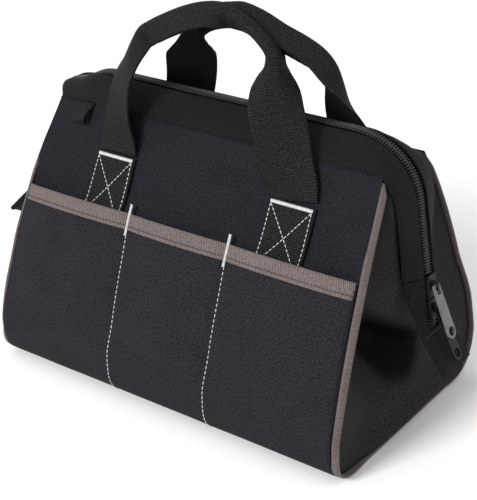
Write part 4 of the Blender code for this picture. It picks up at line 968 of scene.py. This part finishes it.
def whole_zip(make_row):
    """Rows along the zip from one end's split over the top to the other's."""
    half = steps(0, ZIP_CORNER_X, 30)[:-1] + steps(ZIP_CORNER_X, TAIL_START, 22)
    half += steps(TAIL_START, SPLIT_AT, 18)[1:]
    return [make_row(at, LEFT) for at in reversed(half[1:])] + [make_row(at, RIGHT) for at in half]


def eave_dip(at, end, side):
    """How far the band's edge comes down at a corner to lie on the wall's top edge."""
    edge = zip_point(at, end, side, zip_strip_width(at, end))
    reach = EAVE_HALF_LENGTH + (0.003 if end == LEFT else -0.003)
    return max(edge.z - EAVE_HEIGHT + 0.001, 0.0) * (1 - smooth((abs(edge.x) - reach) / 0.006))


def make_band(side):
    """The webbing along one side of the zip, turned down at both ends, and the zip's tape."""
    name = SIDES[side]

    def row(at, end):
        wide = zip_strip_width(at, end)
        points = []
        for share in (0, 0.04, 0.1, 0.25, 0.45, 0.65, 0.82, 0.88, 0.91, 0.94, 1):
            across = mix(SLOT + GAP, wide, share)
            groove = -0.0005 if share == 0.91 else 0.0
            uneven = 0.0004 * wrinkle((end * at, across * side, 0), 0.02, 1.3)
            point = zip_point(at, end, side, across, groove + (0.0006 + uneven) * sin(pi * share))
            point.z -= eave_dip(at, end, side) * smooth((share - 0.2) / 0.8)
            points.append(point)
        return points

    sheet(name + "_band", whole_zip(row), WEBBING, (0, 0, 1), end_bend(side), BAND,
          [name + "_top_band"])

    def tape_row(at, end):
        return [zip_point(at, end, side, across, -TAPE_DEPTH * ease)
                for across, ease in ((0.001, 0.85), (0.003, 0.8), (0.005, 0.9), (SLOT, 1), (0.012, 1))]

    sheet(name + "_zip_weave", whole_zip(tape_row), TAPE, (0, 0, 1), end_bend(side),
          ZIP_CLOTH, [name + "_zip_tape"])


# A tooth's rings: metres across, and shares of its height and length; and each ring's points: along and up
TOOTH_PITCH, TOOTH_LENGTH, TOOTH_HEIGHT = 0.0022, 0.001012, 0.0016
TOOTH_RINGS = ((-0.0012, 0.35, 0.7), (-0.0006, 0.8, 1), (0.0006, 1, 0.85),
               (0.003, 0.9, 0.95), (0.0039, 0.7, 1), (0.0043, 0.2, 0.9))
TOOTH_SECTION = ((-1, 0), (-0.8, 0.75), (0, 1), (0.8, 0.75), (1, 0), (0, -0.4))


def make_teeth(name, spans, side, body, replaced):
    """The teeth of half of the chain along spans of (end, from, to), sunk from the corner on."""
    build = bmesh.new()
    for end, start, stop in spans:
        phase = end / 2 if side == REAR else 0.0
        for n in range(ceil(start / TOOTH_PITCH - phase), ceil(stop / TOOTH_PITCH - phase)):
            at = (n + phase) * TOOTH_PITCH
            proud = -0.0016 + 0.0014 * (1 - smooth((at - ZIP_CORNER_X + 0.01) / 0.03))
            skin(build, [[zip_point(at + along * wide * TOOTH_LENGTH / 2, end, side if across > 0 else -side,
                                    abs(across), proud + TOOTH_HEIGHT * high * up)
                          for along, up in TOOTH_SECTION] for across, high, wide in TOOTH_RINGS])
    new_piece(name, build, body, COIL, replaced)


def tail_row(at, end):
    wide = zip_strip_width(at, end)
    points = []
    for side in SIDES:
        half = []
        for share in (1, 0.94, 0.91, 0.88, 0.7, 0.5, 0.3, 0.1, 0):
            across = mix(SLOT + GAP, wide, share)
            groove = -0.0004 if share == 0.91 else 0.0
            half.append(zip_point(at, end, side, across, groove + 0.0003 * sin(pi * share)))
        points += half if side == FRONT else half[::-1]
    return points


def make_tail(end):
    """The zip's loose end: webbing with a slot for the chain, closed and hemmed at its tab."""
    closed_at, open_rows = ZIP_END - TAB_LENGTH, 30
    stations = steps(SPLIT_AT + GAP, closed_at, open_rows)[:-1] + steps(closed_at, ZIP_END, 14)
    slot_cells = [(i, 8) for i in range(open_rows)]
    sheet(ENDS[end] + "_tail_webbing", [tail_row(at, end) for at in stations], WEBBING, (end, 0, 0), "base",
          BAND, [ENDS[end] + "_zip_tail"], slot_cells)
    for side in SIDES:
        name = f"{ENDS[end]}_{SIDES[side]}"
        rows = [[zip_point(at, end, side, across, -TAPE_DEPTH) for across in (0.001, 0.004, SLOT, 0.012)]
                for at in steps(SPLIT_AT + GAP, ZIP_END - TAB_LENGTH / 2, 36)]
        sheet(name + "_tail_weave", rows, TAPE, (end, 0, 0), "base", ZIP_CLOTH,
              [name + "_tail_tape"])
        make_teeth(name + "_tail_teeth", [(end, SPLIT_AT + 0.0012, closed_at - 0.001)], side, "base",
                   [name + "_tail_chain"])
    reach = TAIL_HALF_WIDTH - 0.002
    hem = [(zip_point(closed_at + 0.002, end, FRONT if y < 0 else REAR, abs(y), 0.0003),
            zip_normal(closed_at, end)) for y in steps(-reach, reach, 20)]
    stitches(ENDS[end] + "_tail_thread", [hem], 0.0028, 0.8, 0.00032, "base", DARK_THREAD)


# Solids that stay as the part models them

def dress(node, material, bevel, rim=None):
    """The part's own solid with its material and soft edges, which may carry a painted glint."""
    piece = bpy.data.objects[node]
    piece.data.materials.clear()
    piece.data.materials.append(material)
    if rim:
        piece.data.materials.append(rim)
    fill(piece.modifiers.new("soft_edges", "BEVEL"), width=bevel, segments=2, limit_method="ANGLE",
         angle_limit=radians(40), use_clamp_overlap=True, material=1 if rim else -1)


for side in SIDES:
    make_shell(side)
    make_wall(side)
    make_rim(side)
    make_dividers(side)
    make_grip(side)
    make_band(side)
    spans = [(end, 0.0, SPLIT_AT - 0.001) for end in ENDS]
    make_teeth(SIDES[side] + "_teeth", spans, side, end_bend(side), [SIDES[side] + "_zip_chain"])
    for end in ENDS:
        make_end(side, end)
        make_corner_tape(side, end)
        make_patch(side, end)
for end in ENDS:
    make_tail(end)
make_key_loop()
for name in ("lower_slider", "upper_slider"):
    dress(name, ENAMEL, 0.0004)
# Both pulls' bevelled edges carry a painted glint.
dress("upper_pull", METAL, 0.0005, PAINTED_EDGE_GLINT)
# The lower pull's face carries painted shade.
dress("lower_pull", SHADED_GUNMETAL, 0.0006, PAINTED_EDGE_GLINT)
dress("base_board", BOARD_PLASTIC, 0.0005)


# Camera, lights and floor

CAMERA_AZIMUTH, CAMERA_ELEVATION, CAMERA_ROLL = radians(36.76), radians(26.461), radians(-1.216)
CAMERA_TARGET, CAMERA_DISTANCE = Vector((0.0021, 0.00756, 0.1007)), 1.038505
FOCAL_PIXELS, LONG_SIDE_PIXELS, SENSOR_WIDTH = 1295.25, 500, 36
KEY_PLACE, KEY_AIM, KEY_SIZE, KEY_POWER = Vector((-0.8, -3.5, 2.3)), Vector((0, 0, 0.1)), 1.2, 165
WORLD_LEVEL, FLOOR_HALF, FLOOR_SHADE = 0.8, 3.0, 0.97


def make_camera():
    data = fill(bpy.data.cameras.new("camera"), sensor_fit="AUTO", sensor_width=SENSOR_WIDTH,
                lens=FOCAL_PIXELS * SENSOR_WIDTH / LONG_SIDE_PIXELS, clip_end=10)
    camera = add_object("camera", data)
    turned = Euler((pi / 2 - CAMERA_ELEVATION, 0, CAMERA_AZIMUTH)).to_matrix().to_4x4()
    camera.matrix_world = (Matrix.Translation(CAMERA_TARGET) @ turned @ Matrix.Rotation(CAMERA_ROLL, 4, "Z")
                           @ Matrix.Translation((0, 0, CAMERA_DISTANCE)))
    bpy.context.scene.camera = camera


def make_key():
    """A square lamp at the left front that faces the bag."""
    lamp = add_object("key", fill(bpy.data.lights.new("key", "AREA"), size=KEY_SIZE, energy=KEY_POWER))
    aim = (KEY_AIM - KEY_PLACE).to_track_quat("-Z", "Y").to_euler()
    return fill(lamp, location=KEY_PLACE, rotation_euler=aim)


def make_floor():
    mesh = bpy.data.meshes.new("floor")
    corners = [(x * FLOOR_HALF, y * FLOOR_HALF, 0) for x, y in ((-1, -1), (1, -1), (1, 1), (-1, 1))]
    mesh.from_pydata(corners, [], [(0, 1, 2, 3)])
    m = Look("floor", 0.9, specular=0.0)
    mesh.materials.append(m.finish((*[FLOOR_SHADE] * 3, 1)))
    return add_object("floor", mesh)


def make_world(level):
    """White where the camera, a reflection or clear stuff sees it, and a lower level as light."""
    world = bpy.data.worlds.new("studio")
    bpy.context.scene.world = world
    m = Nodes(world)
    m.tree.nodes.clear()
    rays = m.new("LightPath").outputs
    seen = m.math("MAXIMUM", rays["Is Camera Ray"], rays["Is Glossy Ray"])
    seen = m.math("MAXIMUM", seen, rays["Is Transmission Ray"])
    lit, white = (m.new("Background", (1, 1, 1, 1), strength).outputs[0] for strength in (level, 1))
    m.new("OutputWorld", Surface=m.new("MixShader", seen, lit, white).outputs[0])


make_camera()
make_world(WORLD_LEVEL)
floor = make_floor()
key = make_key()
bpy.context.scene.view_settings.view_transform = "Standard"
